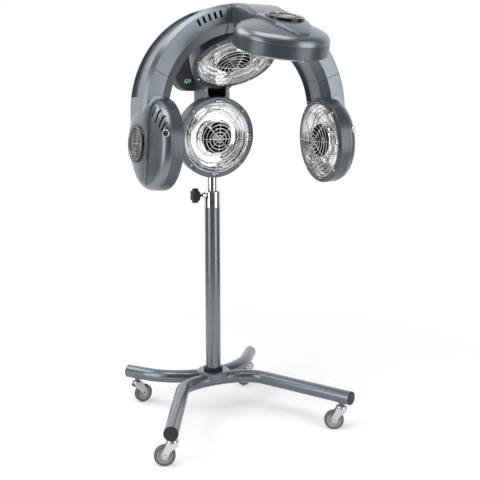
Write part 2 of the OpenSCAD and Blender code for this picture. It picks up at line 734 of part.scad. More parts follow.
// Cross beam of the hub: straight between the arc centres, then both arcs
module cross_beam(pts, reach) {
  intersection() {
    union() {
      translate([-arm_x, -arm_y, arm_centre_z]) rotate([90, 0, 90])
        linear_extrude(2 * arm_x) polygon(swap(pts));
      for (s = [0, 1]) mirror([s, 0, 0]) side_frame() sweep(pts, 90, 105);
    }
    translate([-reach, -big, 0]) cube([2 * reach, big, 3 * big]);
  }
}

// Long beam of the hub: from the front seam to the spine's arc
module long_beam(pts, reach) {
  intersection() {
    union() {
      translate([0, -spine_arc_y, arm_centre_z]) rotate([90, 0, 0])
        linear_extrude(front_arc_y - spine_arc_y) polygon(swap(pts));
      front_frame() sweep(pts, 90, 100);
    }
    translate([-big, -reach, 0]) cube([2 * big, reach, 3 * big]);
  }
}

module pin_barrel(w, r) { rotate([90, 0, 0]) cylinder(r = r, h = w, center = true); }
module at_side_pin() { translate([-seam_x, -arm_y, arm_pin_z]) children(); }
module at_front_pin() { translate([0, -seam_y, arm_pin_z]) rotate([0, 0, 90]) children(); }
module at_pins() {
  for (s = [0, 1]) mirror([s, 0, 0]) at_side_pin() children();
  at_front_pin() children();
}

// Lugs that carry a hinge pin on both sides of the arm's barrel
lug_w = 12 * unit;
lug_r = 10 * unit;
lug_at = knuckle_w / 2 + gap + lug_w / 2;
pin_l = 2 * lug_at + lug_w;

module crown_hub() {
  color([0.42, 0.44, 0.46]) difference() {
    union() {
      difference() {
        union() {
          cross_beam(section(arm_r, 0), seam_x - groove_w);
          cross_beam(section(arm_r, groove_h), seam_x - seam_gap / 2);
          long_beam(section(arm_r, 0), seam_y - groove_w);
          long_beam(section(arm_r, groove_h), seam_y - seam_gap / 2);
        }
        cross_beam(cavity(arm_r), seam_x - 5 * unit);
        long_beam(cavity(arm_r), seam_y - 5 * unit);
      }
      at_pins() for (s = [-1, 1]) translate([0, s * lug_at, 0]) pin_barrel(lug_w, lug_r);
    }
    at_pins() {
      pin_barrel(knuckle_w + 2 * gap, knuckle_r + 1.5 * unit);
      pin_barrel(pin_l + cut, arm_pin_d / 2);
    }
    at_crown() head_form();
  }
}

module hinge_pins() {
  color([0.7, 0.7, 0.72]) {
    at_pins() pin_barrel(pin_l, arm_pin_d / 2);
    translate([-yoke_w / 2 - 1 * unit, 0, tilt_z]) rotate([0, 90, 0])
      cylinder(d = tilt_d, h = yoke_w + 2 * unit);
  }
}

// Side taper of the spine, as seen from the front
module taper(inset) {
  top = arm_half - inset;
  low = yoke_w / 2 - inset;
  translate([0, big, 0]) rotate([90, 0, 0]) linear_extrude(2 * big)
    polygon([[-low, 0], [low, 0], [low, spine_centre_z + 10 * unit], [top, crest_z - 50 * unit],
      [top, crest_z + cut], [-top, crest_z + cut], [-top, crest_z - 50 * unit],
      [-low, spine_centre_z + 10 * unit]]);
}

module spine_form(inset) {
  pts = [[spine_r - arm_t + inset, inset - arm_half], [spine_r - inset, inset - arm_half],
    [spine_r - inset, arm_half - inset], [spine_r - arm_t + inset, arm_half - inset]];
  intersection() {
    union() {
      spine_frame() sweep(pts, 0, 90);
      translate([-arm_half, spine_r - arm_t - spine_arc_y + inset, tilt_z + 16 * unit])
        cube([arm_w, arm_t - 2 * inset, spine_centre_z - tilt_z - 16 * unit]);
    }
    taper(inset);
  }
}

module crown_spine() {
  color([0.42, 0.44, 0.46]) difference() {
    spine_form(0);
    intersection() {
      spine_form(wall);
      translate([-big, -big, spine_centre_z + 12 * unit]) cube([2 * big, big + spine_r - spine_arc_y, big]);
    }
    at_crown() head_form();
    translate([-yoke_w, 0, tilt_z]) rotate([0, 90, 0]) cylinder(r = yoke_r + 0.7 * unit, h = 2 * yoke_w);
    knuckle_form();
  }
}

module knuckle_form() {
  stalk = 24 * unit;
  translate([-knuckle_tilt_w / 2, 0, tilt_z]) rotate([0, 90, 0])
    cylinder(r = knuckle_tilt_r, h = knuckle_tilt_w);
  translate([-knuckle_tilt_w / 2, -stalk, tilt_z]) cube([knuckle_tilt_w, 2 * stalk, 38 * unit]);
}

module tilt_knuckle() {
  color([0.03, 0.03, 0.03]) difference() {
    knuckle_form();
    translate([-yoke_w, 0, tilt_z]) rotate([0, 90, 0]) cylinder(d = tilt_d, h = 2 * yoke_w);
    at_crown() head_form();
  }
}

module crown_shell() {
  difference() {
    at_crown() rotate([0, 0, -90]) shell(1);
    color([0.4, 0.42, 0.44]) translate([-yoke_w, 0, tilt_z]) rotate([0, 90, 0])
      cylinder(r = yoke_r + 0.7 * unit, h = 2 * yoke_w);
  }
}

module crown_rim() { at_crown() rim(); }
module crown_reflector() { at_crown() reflector(); }
module crown_guard() { at_crown() guard(); }
module crown_duct() { at_crown() duct(); }
module crown_fan() { at_crown() fan(); }

// Controls

module round_plate(inset, y, d) {
  w = box_w / 2 - inset;
  r = box_r - inset;
  h0 = box_bottom + inset;
  h1 = box_top - inset;
  translate([0, y + d, 0]) rotate([90, 0, 0]) linear_extrude(d) union() {
    translate([-w, h0 + r]) square([2 * w, h1 - h0 - 2 * r]);
    translate([-w + r, h0]) square([2 * w - 2 * r, h1 - h0]);
    for (x = [-w + r, w - r], z = [h0 + r, h1 - r]) translate([x, z]) circle(r = r);
  }
}

display_x = -62 * unit;
display_z = box_bottom + 30 * unit;
display_w = 27 * unit;
display_h = 16 * unit;
set_z = box_bottom + 11 * unit;
set_r = 4 * unit;
set_l = 9 * unit;
switch_x = 55 * unit;
switch_z = box_bottom + 34 * unit;
switch_w = 20 * unit;
switch_h = 28 * unit;
switch_y = box_y + box_d - 6 * unit;
switch_pin_r = 1.5 * unit;
well_h = 14 * unit;
inlet_x = 0;
inlet_w = 28 * unit;
inlet_h = 22 * unit;
module control_housing() {
  back = box_y + box_d;
  vent_w = 3 * unit;
  color([0.3, 0.3, 0.31]) {
    difference() {
      union() {
        round_plate(0, box_y, box_d);
        translate([-36 * unit, 0, box_bottom + 39 * unit]) cube([72 * unit, box_y + 1 * unit, 90 * unit]);
      }
      round_plate(wall, box_y + wall, box_d - 2 * wall);
      spine_form(0);
      translate([display_x - display_w / 2, box_y - cut, display_z - display_h / 2])
        cube([display_w, 1 * unit + cut, display_h]);
      translate([display_x, box_y - cut, set_z]) rotate([-90, 0, 0])
        cylinder(r = set_r + 0.3 * unit, h = wall + 2 * cut);
      translate([switch_x - switch_w / 2, back - wall - cut, switch_z - switch_h / 2])
        cube([switch_w, wall + 2 * cut, switch_h]);
      translate([inlet_x - inlet_w / 2, back - wall - cut, switch_z - inlet_h / 2])
        cube([inlet_w, wall + 2 * cut, inlet_h]);
      for (s = [-1, 1], i = [0 : 7])
        translate([s * box_w / 2 - (s + 1) * 3 * unit, box_y + 12 * unit, box_bottom + (53 + i * 11) * unit])
          cube([6 * unit, 24 * unit, vent_w]);
      for (i = [-3 : 3]) translate([i * 16 * unit - 2 * unit, back - wall - cut, box_bottom + 99 * unit])
        cube([4 * unit, wall + 2 * cut, 60 * unit]);
    }
    difference() {
      translate([switch_x, back - 1 * unit, switch_z]) rotate([90, 0, 0]) linear_extrude(well_h)
        square([switch_w + 4 * unit, switch_h + 4 * unit], center = true);
      translate([switch_x - switch_w / 2, back - well_h - cut, switch_z - switch_h / 2])
        cube([switch_w, well_h + 2 * cut, switch_h]);
      translate([switch_x, switch_y, switch_z]) rotate([0, 90, 0])
        cylinder(r = switch_pin_r + fit, h = switch_w + 6 * unit, center = true);
    }
    difference() {
      translate([inlet_x - inlet_w / 2, back - 14 * unit, switch_z - inlet_h / 2])
        cube([inlet_w, 15 * unit, inlet_h]);
      translate([inlet_x - inlet_w / 2 + 3 * unit, back - 10 * unit, switch_z - inlet_h / 2 + 3 * unit])
        cube([inlet_w - 6 * unit, 20 * unit, inlet_h - 6 * unit]);
    }
  }
}

module display() {
  color([0.2, 0.55, 0.4]) translate([display_x - display_w / 2, box_y - 1 * unit, display_z - display_h / 2])
    cube([display_w, 2 * unit, display_h]);
}

module set_button() {
  color([0.7, 0.7, 0.7]) translate([display_x, box_y - 2 * unit, set_z]) rotate([-90, 0, 0])
    cylinder(r = set_r, h = set_l);
}

// Rocker switch, hinged on two small trunnions in its well
module power_switch() {
  w = switch_w - 1.5 * unit;
  color([0.05, 0.05, 0.05]) translate([switch_x, switch_y, switch_z]) rotate([8, 0, 0]) union() {
    rotate([0, 90, 0]) linear_extrude(w, center = true)
      polygon([[-12 * unit, -4 * unit], [12 * unit, -4 * unit], [12 * unit, 5 * unit], [0, 7 * unit],
        [-12 * unit, 5 * unit]]);
    rotate([0, 90, 0]) cylinder(r = switch_pin_r, h = switch_w + 3 * unit, center = true);
  }
}

// Arms

// Raised fin round the intake boss, narrowing to a point at the far rim
module fin(shift) {
  edge = dome_pts(0)[edge_steps + dome_steps][1];
  difference() {
    intersection() {
      translate([0, 0, rim_h]) linear_extrude(boss_h) polygon([for (p = fin_shares)
        [p[0] * head_r, p[1] * head_r + shift * max(0, p[0])]]);
      translate([fin_up, 0, fin_h]) rotate_extrude() polygon(concat([[0, 0], [head_r, 0]], dome_pts(0),
        [[boss_r - 6 * unit, edge], [0, edge]]));
    }
    translate([0, 0, rim_h]) cylinder(r = boss_r + 0.3 * unit, h = boss_h);
    head_form();
  }
}

// Recessed strips, vents and the groove of an arm, in the arc's own frame
module arm_cuts(a, b, vents) {
  ri = arm_r - arm_t;
  sweep([[arm_r - strip_h, -strip_w / 2], [arm_r + cut, -strip_w / 2], [arm_r + cut, strip_w / 2],
    [arm_r - strip_h, strip_w / 2]], a, b);
  sweep([[ri - cut, -inner_strip_w / 2], [ri + strip_h, -inner_strip_w / 2],
    [ri + strip_h, inner_strip_w / 2], [ri - cut, inner_strip_w / 2]], a, b);
  if (vents) for (i = [0 : 4]) rotate([0, 0, 104.5 + 3.7 * i])
    translate([arm_r - 33 * unit, -3.5 * unit, arm_half - wall - cut])
      cube([19 * unit, 7 * unit, wall + 2 * cut]);
}

// Seam round an arm where its two mouldings meet; it stops short of the hollow
seam_floor = 1 * unit;
module arm_seam(a) {
  half_turn = atan(seam_gap / 2 / arm_r);
  difference() {
    sweep(section(arm_r, -cut), a - half_turn, a + half_turn);
    sweep(hollow(arm_r, arm_in - seam_floor, wall - seam_floor), a - 2 * half_turn, a + 2 * half_turn);
  }
}

// Hinge end of an arm: barrel round the pin, room for the hub's lugs, relief
module hinge_end() {
  pin_barrel(knuckle_w, knuckle_r);
}

module hinge_room() {
  for (s = [-1, 1]) translate([0, s * lug_at, 0]) pin_barrel(lug_w + 2 * gap, lug_r + 0.6 * unit);
  pin_barrel(pin_l + cut, arm_pin_d / 2 + fit);
  rotate([90, 0, 0]) linear_extrude(arm_w, center = true)
    polygon([[2 * unit, -2 * unit], [-seam_gap / 2, -2 * unit], [-7.5 * unit, 32 * unit],
      [2 * unit, 32 * unit]]);
}

module left_arm() {
  color([0.4, 0.42, 0.44]) difference() {
    union() {
      difference() {
        union() {
          intersection() {
            side_frame() sweep(section(arm_r, 0), 97, 180);
            translate([-big - seam_x - groove_w, -big, 0]) cube([big, big, 3 * big]);
          }
          intersection() {
            side_frame() sweep(section(arm_r, groove_h), 97, 110);
            translate([-big - seam_x - seam_gap / 2, -big, 0]) cube([big, big, 3 * big]);
          }
          translate([-arm_x, -arm_y, arm_centre_z - leg_down]) linear_extrude(leg_down)
            polygon([for (p = section(arm_r, 0)) [-p[0], -p[1]]]);
        }
        side_frame() sweep(cavity(arm_r), 100, 176);
        side_frame() arm_cuts(112, 172, true);
        side_frame() arm_seam(157);
      }
      at_side_pin() hinge_end();
    }
    at_side_pin() hinge_room();
    at_left() head_form();
    at_left() head_front();
    at_left() translate([0, 0, rim_h]) cylinder(r = boss_r + 0.3 * unit, h = boss_h);
    at_crown() head_room();
  }
  color([0.4, 0.42, 0.44]) difference() {
    at_left() fin(arm_half * 0.4);
    translate([-arm_x, -arm_y, arm_centre_z - leg_down]) linear_extrude(leg_down * 3)
      polygon([for (p = section(arm_r, 0)) [-p[0], -p[1]]]);
  }
}

module right_arm() { mirror([1, 0, 0]) left_arm(); }

module front_arm() {
  color([0.4, 0.42, 0.44]) difference() {
    union() {
      difference() {
        union() {
          intersection() {
            front_frame() sweep(section(arm_r, 0), 92, 124);
            translate([-big, -big - seam_y - groove_w, 0]) cube([2 * big, big, 3 * big]);
          }
          intersection() {
            front_frame() sweep(section(arm_r, groove_h), 92, 110);
            translate([-big, -big - seam_y - seam_gap / 2, 0]) cube([2 * big, big, 3 * big]);
          }
        }
        front_frame() sweep(cavity(arm_r), 97, 121);
      }
      at_front_pin() hinge_end();
    }
    at_front_pin() hinge_room();
    at_front() head_form();
    at_front() translate([0, 0, rim_h]) cylinder(r = boss_r + 0.3 * unit, h = boss_h);
    at_crown() head_room();
  }
  color([0.4, 0.42, 0.44]) difference() {
    at_front() rotate([0, 0, 90]) fin(0);
    front_frame() sweep(section(arm_r, 0), 92, 124);
  }
}

// Side and front heads

module button_hole() {
  button_frame() translate([0, 0, -10 * unit]) cylinder(r = button_r + 0.35 * unit, h = 40 * unit);
}

module side_shell() {
  difference() {
    at_left() shell(-1);
    color([0.4, 0.42, 0.44]) at_left() mirror([0, 1, 0]) button_hole();
  }
}

module side_button() {
  color([0.75, 0.75, 0.77]) at_left() mirror([0, 1, 0]) button_frame()
    translate([0, 0, -10 * unit]) cylinder(r = button_r, h = 14 * unit);
}

module left_shell() { side_shell(); }
module left_rim() { at_left() rim(); }
module left_reflector() { at_left() rotate([0, 0, 90]) reflector(); }
module left_guard() { at_left() guard(); }
module left_duct() { at_left() duct(); }
module left_fan() { at_left() fan(); }
module left_button() { side_button(); }
module right_shell() { mirror([1, 0, 0]) side_shell(); }
module right_rim() { at_right() rim(); }
module right_reflector() { at_right() rotate([0, 0, 90]) reflector(); }
module right_guard() { at_right() guard(); }
module right_duct() { at_right() duct(); }
module right_fan() { at_right() fan(); }
module right_button() { mirror([1, 0, 0]) side_button(); }
module front_shell() { at_front() rotate([0, 0, 90]) shell(1); }
module front_rim() { at_front() rim(); }
module front_reflector() { at_front() reflector(); }
module front_guard() { at_front() guard(); }
module front_duct() { at_front() duct(); }
module front_fan() { at_front() fan(); }

base_hub();
legs();
leg_caps();
column();
foot_ring();
collar();
lift_tube();
clamp_knob();
caster_fork_fl();
caster_fork_fr();
caster_fork_rl();
caster_fork_rr();
caster_wheel_fl();
caster_wheel_fr();
caster_wheel_rl();
caster_wheel_rr();
rear_shell();
rear_rim();
rear_reflector();
rear_guard();
rear_duct();
rear_fan();
rear_yoke();
crown_shell();
crown_rim();
crown_reflector();
crown_guard();
crown_duct();
crown_fan();
crown_hub();
crown_spine();
tilt_knuckle();
hinge_pins();
control_housing();
display();
set_button();
power_switch();
left_arm();
left_shell();
left_rim();
left_reflector();
left_guard();
left_duct();
left_fan();
left_button();
right_arm();
right_shell();
right_rim();
right_reflector();
right_guard();
right_duct();
right_fan();
right_button();
front_arm();
front_shell();
front_rim();
front_reflector();
front_guard();
front_duct();
front_fan();
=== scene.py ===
# %% [markdown]
# # A hair color processor on a caster stand
#
# The machine warms a client's hair with five round infrared heads. This lesson dresses its
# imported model: the big mouldings and tubes keep their exact solids and get new finishes, while
# the wire guards, mirrors, lamps, fans, screws and casters are built here in more detail.
# All sizes are metres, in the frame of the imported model: +Z up, the front toward -Y.

# %% Load the fixed frame
import json
from math import atan2, cos, pi, radians, sin, sqrt
import bmesh
import bpy
from mathutils import Matrix, Vector


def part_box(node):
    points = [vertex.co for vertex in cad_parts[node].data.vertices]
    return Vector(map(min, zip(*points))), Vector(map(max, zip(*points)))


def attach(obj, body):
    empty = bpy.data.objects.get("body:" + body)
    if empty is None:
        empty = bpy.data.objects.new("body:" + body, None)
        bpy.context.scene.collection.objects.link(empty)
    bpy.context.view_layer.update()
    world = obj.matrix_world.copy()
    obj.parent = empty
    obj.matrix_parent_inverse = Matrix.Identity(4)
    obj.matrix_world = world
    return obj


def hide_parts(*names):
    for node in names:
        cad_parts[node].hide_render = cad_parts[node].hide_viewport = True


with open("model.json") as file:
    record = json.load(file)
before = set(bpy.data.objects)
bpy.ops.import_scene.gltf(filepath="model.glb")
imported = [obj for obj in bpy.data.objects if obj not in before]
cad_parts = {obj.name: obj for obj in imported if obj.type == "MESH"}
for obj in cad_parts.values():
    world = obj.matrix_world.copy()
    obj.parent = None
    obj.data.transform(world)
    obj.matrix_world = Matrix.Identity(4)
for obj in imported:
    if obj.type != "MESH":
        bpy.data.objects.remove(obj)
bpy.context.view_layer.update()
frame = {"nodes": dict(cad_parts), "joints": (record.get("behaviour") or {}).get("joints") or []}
nodes = frame["nodes"]

# %% [markdown]
# ## Camera
#
# The photograph was taken from the front left, from just above the collar, with a longish
# lens. A camera is a point, a heading and a pitch. The heading is measured from straight
# back toward +X, and the pitch from level, so both go into the Euler angles as they are.

# %% Put the camera where the photographer stood
CAMERA_DISTANCE = 2.5592
CAMERA_HEIGHT = 1.0202
CAMERA_BEARING = radians(24.6)
CAMERA_YAW = radians(2.0)
CAMERA_PITCH = radians(9.9)
LENS_MM = 59.84

camera_data = bpy.data.cameras.new("photo_camera")
camera_data.sensor_width = 36.0
camera_data.lens = LENS_MM
camera = bpy.data.objects.new("photo_camera", camera_data)
bpy.context.scene.collection.objects.link(camera)
camera.location = (-CAMERA_DISTANCE * sin(CAMERA_BEARING), -CAMERA_DISTANCE * cos(CAMERA_BEARING),
                   CAMERA_HEIGHT)
camera.rotation_euler = (pi / 2 - CAMERA_PITCH, 0, -CAMERA_BEARING - CAMERA_YAW)
bpy.context.scene.camera = camera
print("camera at", [round(c, 3) for c in camera.location])

# %% [markdown]
# ## Two small helpers for node trees
#
# Shaders and Geometry Nodes are both trees of nodes, joined socket to socket. Writing them by
# hand takes three lines a node, so one helper makes a node, sets its options and fills its
# inputs, either with a plain value or with another node's output.

# %% Make a node and fill its inputs
def feed(tree, socket, value):
    if isinstance(value, bpy.types.NodeSocket):
        tree.links.new(value, socket)
    elif hasattr(socket, "default_value"):
        socket.default_value = value


def add(tree, kind, options=None, **inputs):
    made = tree.nodes.new(kind)
    for name, value in (options or {}).items():
        setattr(made, name, value)
    for name, value in inputs.items():
        feed(tree, made.inputs[name.replace("_", " ")], value)
    return made


def calc(tree, operation, first, second=0.0):
    made = tree.nodes.new("ShaderNodeMath")
    made.operation = operation
    feed(tree, made.inputs[0], first)
    feed(tree, made.inputs[1], second)
    return made.outputs[0]


def square(tree, value):
    return calc(tree, "POWER", value, 2.0)


def vector(tree, x=0.0, y=0.0, z=0.0):
    return add(tree, "ShaderNodeCombineXYZ", X=x, Y=y, Z=z).outputs[0]


print("helpers ready")

# %% [markdown]
# ## Finishes
#
# A finish starts from the Principled shader. What is the same all over, such as how metallic
# it is, is set on its own socket. What varies comes from noise on Object coordinates, at the
# real scale of the thing: paint flakes under a millimetre, moulding grain of half a
# millimetre, handling marks of a few centimetres.

# %% A base for every finish
NOISE_REACH = (0.3, 0.7)
TINT_STOPS = (0.35, 0.65)


def new_finish(name, **values):
    material = bpy.data.materials.new(name)
    material.use_nodes = True
    tree = material.node_tree
    shader = tree.nodes["Principled BSDF"]
    for key, value in values.items():
        shader.inputs[key.replace("_", " ")].default_value = value
    return material, tree, shader


def speckle(tree, scale, detail=2.0):
    place = add(tree, "ShaderNodeTexCoord").outputs["Object"]
    return add(tree, "ShaderNodeTexNoise", Vector=place, Scale=scale, Detail=detail).outputs["Fac"]


def ranged(tree, share, from_low, from_high, to_low=0.0, to_high=1.0, curve="LINEAR"):
    return add(tree, "ShaderNodeMapRange", {"interpolation_type": curve}, Value=share, From_Min=from_low,
               From_Max=from_high, To_Min=to_low, To_Max=to_high).outputs["Result"]


def spread(tree, share, low, high):
    return ranged(tree, share, *NOISE_REACH, low, high)


def tint(tree, shader, share, dark, light):
    ramp = add(tree, "ShaderNodeValToRGB", Fac=share)
    for stop, place, colour in zip(ramp.color_ramp.elements, TINT_STOPS, (dark, light)):
        stop.position = place
        stop.color = (*colour, 1.0)
    feed(tree, shader.inputs["Base Color"], ramp.outputs["Color"])


def relief(tree, shader, share, depth, edge=0.0):
    bump = add(tree, "ShaderNodeBump", Height=share, Distance=depth, Strength=1.0)
    if edge:
        rounded = add(tree, "ShaderNodeBevel", {"samples": 6}, Radius=edge)
        feed(tree, bump.inputs["Normal"], rounded.outputs["Normal"])
    feed(tree, shader.inputs["Normal"], bump.outputs["Normal"])


def finish(name, dark, light, gloss, scale, depth, edge=0.0, wear=9.0, **values):
    material, tree, shader = new_finish(name, **values)
    fine = speckle(tree, scale)
    tint(tree, shader, fine, dark, light)
    feed(tree, shader.inputs["Roughness"], spread(tree, speckle(tree, wear, 4.0), *gloss))
    relief(tree, shader, fine, depth, edge)
    return material


print("finish maker ready")

# %% [markdown]
# ## The painted parts
#
# The mouldings wear a satin metallic grey: dark, with a soft broad shine and fine flakes. The
# stand's tubes are the same grey under a glossier coat. A Bevel node rounds the light on the
# mouldings' hard edges, as a mould's small radii do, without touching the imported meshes.

# %% Paints, plastics and rubbers
body_paint = finish("body_paint", (0.185, 0.207, 0.230), (0.212, 0.236, 0.260), gloss=(0.30, 0.33),
                    scale=2200.0, depth=0.0000015, edge=0.0016, Metallic=0.8, Coat_Weight=0.3,
                    Coat_Roughness=0.2)
# A darker copy of the body paint for the front rings and the rear yoke: painted shade, for the dim light
# their faces catch.
shade_darkened_paint = finish("shade_darkened_paint", (0.088, 0.099, 0.112), (0.102, 0.114, 0.128), gloss=(0.34, 0.38),
                   scale=2200.0, depth=0.0000015, edge=0.0012, Metallic=0.65, Coat_Weight=0.2,
                   Coat_Roughness=0.25)
tube_paint = finish("tube_paint", (0.165, 0.185, 0.205), (0.185, 0.206, 0.228), gloss=(0.25, 0.27),
                    scale=2600.0, depth=0.0000003, Metallic=0.75, Coat_Weight=0.5, Coat_Roughness=0.12)
housing_plastic = finish("housing_plastic", (0.040, 0.043, 0.047), (0.066, 0.070, 0.075),
                         gloss=(0.45, 0.55), scale=900.0, depth=0.00012, edge=0.002, Metallic=0.2)
black_plastic = finish("black_plastic", (0.004, 0.004, 0.005), (0.009, 0.009, 0.010), gloss=(0.36, 0.46),
                       scale=900.0, depth=0.00005, edge=0.001, Specular_IOR_Level=0.3)
cap_plastic = finish("cap_plastic", (0.012, 0.012, 0.014), (0.022, 0.021, 0.024), gloss=(0.45, 0.6),
                     scale=700.0, depth=0.00015, edge=0.001)
gloss_black = finish("gloss_black", (0.004, 0.004, 0.006), (0.008, 0.008, 0.010), gloss=(0.05, 0.10),
                     scale=60.0, depth=0.00001, edge=0.002)
tyre_rubber = finish("tyre_rubber", (0.100, 0.116, 0.126), (0.130, 0.148, 0.158), gloss=(0.45, 0.6),
                     scale=1100.0, depth=0.0001)
wheel_core = finish("wheel_core", (0.33, 0.33, 0.32), (0.42, 0.42, 0.41), gloss=(0.35, 0.5),
                    scale=900.0, depth=0.00006)
print(len(bpy.data.materials), "finishes so far")

# %% [markdown]
# ## The bright metals
#
# Chrome, zinc and nickel differ less in colour than in how sharp their mirror is. Zinc on the
# caster forks is a little milky, nickel on the screws is warm, and chrome on the collar is
# nearly perfect, with faint smears that only the roughness shows.

# %% Metals
chrome = finish("chrome", (0.76, 0.75, 0.74), (0.82, 0.81, 0.80), gloss=(0.03, 0.07),
                scale=40.0, depth=0.000001, Metallic=1.0)
guard_wire = finish("guard_wire", (0.62, 0.61, 0.59), (0.72, 0.70, 0.67), gloss=(0.06, 0.12),
                    scale=500.0, depth=0.000002, Metallic=1.0)
zinc = finish("zinc", (0.56, 0.57, 0.57), (0.68, 0.68, 0.67), gloss=(0.12, 0.22),
              scale=260.0, depth=0.00001, Metallic=0.95)
nickel = finish("nickel", (0.78, 0.74, 0.68), (0.90, 0.86, 0.80), gloss=(0.18, 0.30),
                scale=900.0, depth=0.00002, Metallic=0.9)
pin_steel = finish("pin_steel", (0.50, 0.50, 0.51), (0.62, 0.62, 0.62), gloss=(0.25, 0.35),
                   scale=300.0, depth=0.00002, Metallic=1.0)
intake_silver = finish("intake_silver", (0.38, 0.39, 0.40), (0.46, 0.47, 0.48), gloss=(0.24, 0.32),
                       scale=900.0, depth=0.000006, Metallic=0.8)
print(len(bpy.data.materials), "finishes so far")

# %% [markdown]
# ## Dress the imported nodes
#
# Every imported node keeps its solid. Its finish follows from its name, so one table is enough:
# the first entry that the name ends with wins.

# %% Assign finishes by name
# The front rings and the rear yoke take the darker copy of the body paint, which is painted shade.
FINISH_OF = {
    "_shell": body_paint, "_rim": shade_darkened_paint, "_arm": body_paint, "crown_hub": body_paint,
    "crown_spine": body_paint, "rear_yoke": shade_darkened_paint, "base_hub": tube_paint, "legs": tube_paint,
    "column": tube_paint, "leg_caps": cap_plastic, "foot_ring": black_plastic, "collar": chrome,
    "lift_tube": chrome, "clamp_knob": black_plastic, "_duct": black_plastic, "_fan": black_plastic,
    "_guard": guard_wire, "_reflector": chrome, "tilt_knuckle": gloss_black, "hinge_pins": pin_steel,
    "control_housing": housing_plastic, "display": housing_plastic, "set_button": chrome,
    "power_switch": black_plastic, "_button": chrome,
}
for name, node in nodes.items():
    wanted = next((paint for ending, paint in FINISH_OF.items() if name.endswith(ending)), zinc)
    node.data.materials.clear()
    node.data.materials.append(wanted)
print("dressed", len(nodes), "nodes")

# %% [markdown]
# ## Where each head is
#
# All five heads are the same product, so they are built once, in a head's own frame, and then
# placed. That frame has its origin in the middle of the front ring, its Z toward the back, and
# its X toward the arm. The fan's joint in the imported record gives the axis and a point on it.

# %% Head frames from the fan joints
HEAD_BODY = {"rear": "rear_head", "crown": "crown", "left": "left_arm", "right": "right_arm",
             "front": "front_arm"}
FAN_DEPTH = 0.026
JOINTS = {joint["name"]: joint for joint in frame["joints"]}


def head_place(head):
    joint = JOINTS[head + "_fan_spin"]
    back = Vector(joint["axis"]).normalized()
    toward_arm = Vector((0, 0, 1)) if head in ("left", "right") else Vector((1, 0, 0))
    across = (toward_arm - toward_arm.dot(back) * back).normalized()
    turn = Matrix((across, back.cross(across), back)).transposed().to_4x4()
    return Matrix.Translation(Vector(joint["pos_m"]) - FAN_DEPTH * back) @ turn


HEAD_PLACE = {head: head_place(head) for head in HEAD_BODY}
for head, place in HEAD_PLACE.items():
    print(head, [round(c, 3) for c in place.translation])

# %% [markdown]
# ## From outlines to meshes
#
# Turned parts, such as bowls, wheels, caps and screw heads, come from one outline of radius
# and height, carried round the axis in steps. The lathe closes the poles with single points,
# so no hole or stray disc is left there.

# %% Mesh makers
def mesh_piece(name, points, faces, finish_used, place=None, smooth=True):
    mesh = bpy.data.meshes.new(name)
    mesh.from_pydata([tuple(p) for p in points], [], faces)
    work = bmesh.new()
    work.from_mesh(mesh)
    bmesh.ops.recalc_face_normals(work, faces=work.faces)
    work.to_mesh(mesh)
    work.free()
    for face in mesh.polygons:
        face.use_smooth = smooth
    mesh.materials.append(finish_used)
    if place is not None:
        mesh.transform(place)
    made = bpy.data.objects.new(name, mesh)
    bpy.context.scene.collection.objects.link(made)
    return made


def turned(outline, steps=64):
    points, faces, rows = [], [], []
    for radius, height in outline:
        if radius < 1e-7:
            rows.append([len(points)] * steps)
            points.append((0.0, 0.0, height))
        else:
            rows.append(list(range(len(points), len(points) + steps)))
            angles = [2 * pi * k / steps for k in range(steps)]
            points += [(radius * cos(angle), radius * sin(angle), height) for angle in angles]
    for low, high in zip(rows, rows[1:]):
        for k in range(steps):
            corners = [low[k], low[(k + 1) % steps], high[(k + 1) % steps], high[k]]
            faces.append(list(dict.fromkeys(corners)))
    return points, [face for face in faces if len(face) > 2]


def turned_piece(name, outline, finish_used, place=None, steps=64):
    return mesh_piece(name, *turned(outline, steps), finish_used, place)


def apply_modifiers(piece):
    bpy.context.view_layer.update()
    graph = bpy.context.evaluated_depsgraph_get()
    mesh = bpy.data.meshes.new_from_object(piece.evaluated_get(graph), preserve_all_data_layers=True,
                                           depsgraph=graph)
    piece.modifiers.clear()
    piece.data = mesh
    return piece


def bevelled(piece, width):
    step = piece.modifiers.new("edges", "BEVEL")
    step.width = width
    step.segments = 2
    step.limit_method = "ANGLE"
    step.angle_limit = radians(35)
    return apply_modifiers(piece)


def joined(name, pieces):
    points, faces, used, finishes, smooth = [], [], [], [], []
    for piece in pieces:
        start = len(points)
        points += [v.co.copy() for v in piece.data.vertices]
        for face in piece.data.polygons:
            finish_used = piece.data.materials[face.material_index]
            if finish_used not in finishes:
                finishes.append(finish_used)
            faces.append([start + k for k in face.vertices])
            used.append(finishes.index(finish_used))
            smooth.append(face.use_smooth)
        bpy.data.objects.remove(piece)
    mesh = bpy.data.meshes.new(name)
    mesh.from_pydata(points, [], faces)
    for finish_used in finishes:
        mesh.materials.append(finish_used)
    mesh.polygons.foreach_set("material_index", used)
    mesh.polygons.foreach_set("use_smooth", smooth)
    made = bpy.data.objects.new(name, mesh)
    bpy.context.scene.collection.objects.link(made)
    return made


def merge_points(piece):
    work = bmesh.new()
    work.from_mesh(piece.data)
    bmesh.ops.remove_doubles(work, verts=work.verts, dist=1e-6)
    bmesh.ops.recalc_face_normals(work, faces=work.faces)
    work.to_mesh(piece.data)
    work.free()


def rectangle(left, low, right, high):
    return [(left, low), (right, low), (right, high), (left, high)]


def slab(outline, low, high):
    count = len(outline)
    points = [(x, y, low) for x, y in outline] + [(x, y, high) for x, y in outline]
    sides = [[k, (k + 1) % count, count + (k + 1) % count, count + k] for k in range(count)]
    return points, sides + [list(range(count))[::-1], list(range(count, 2 * count))]


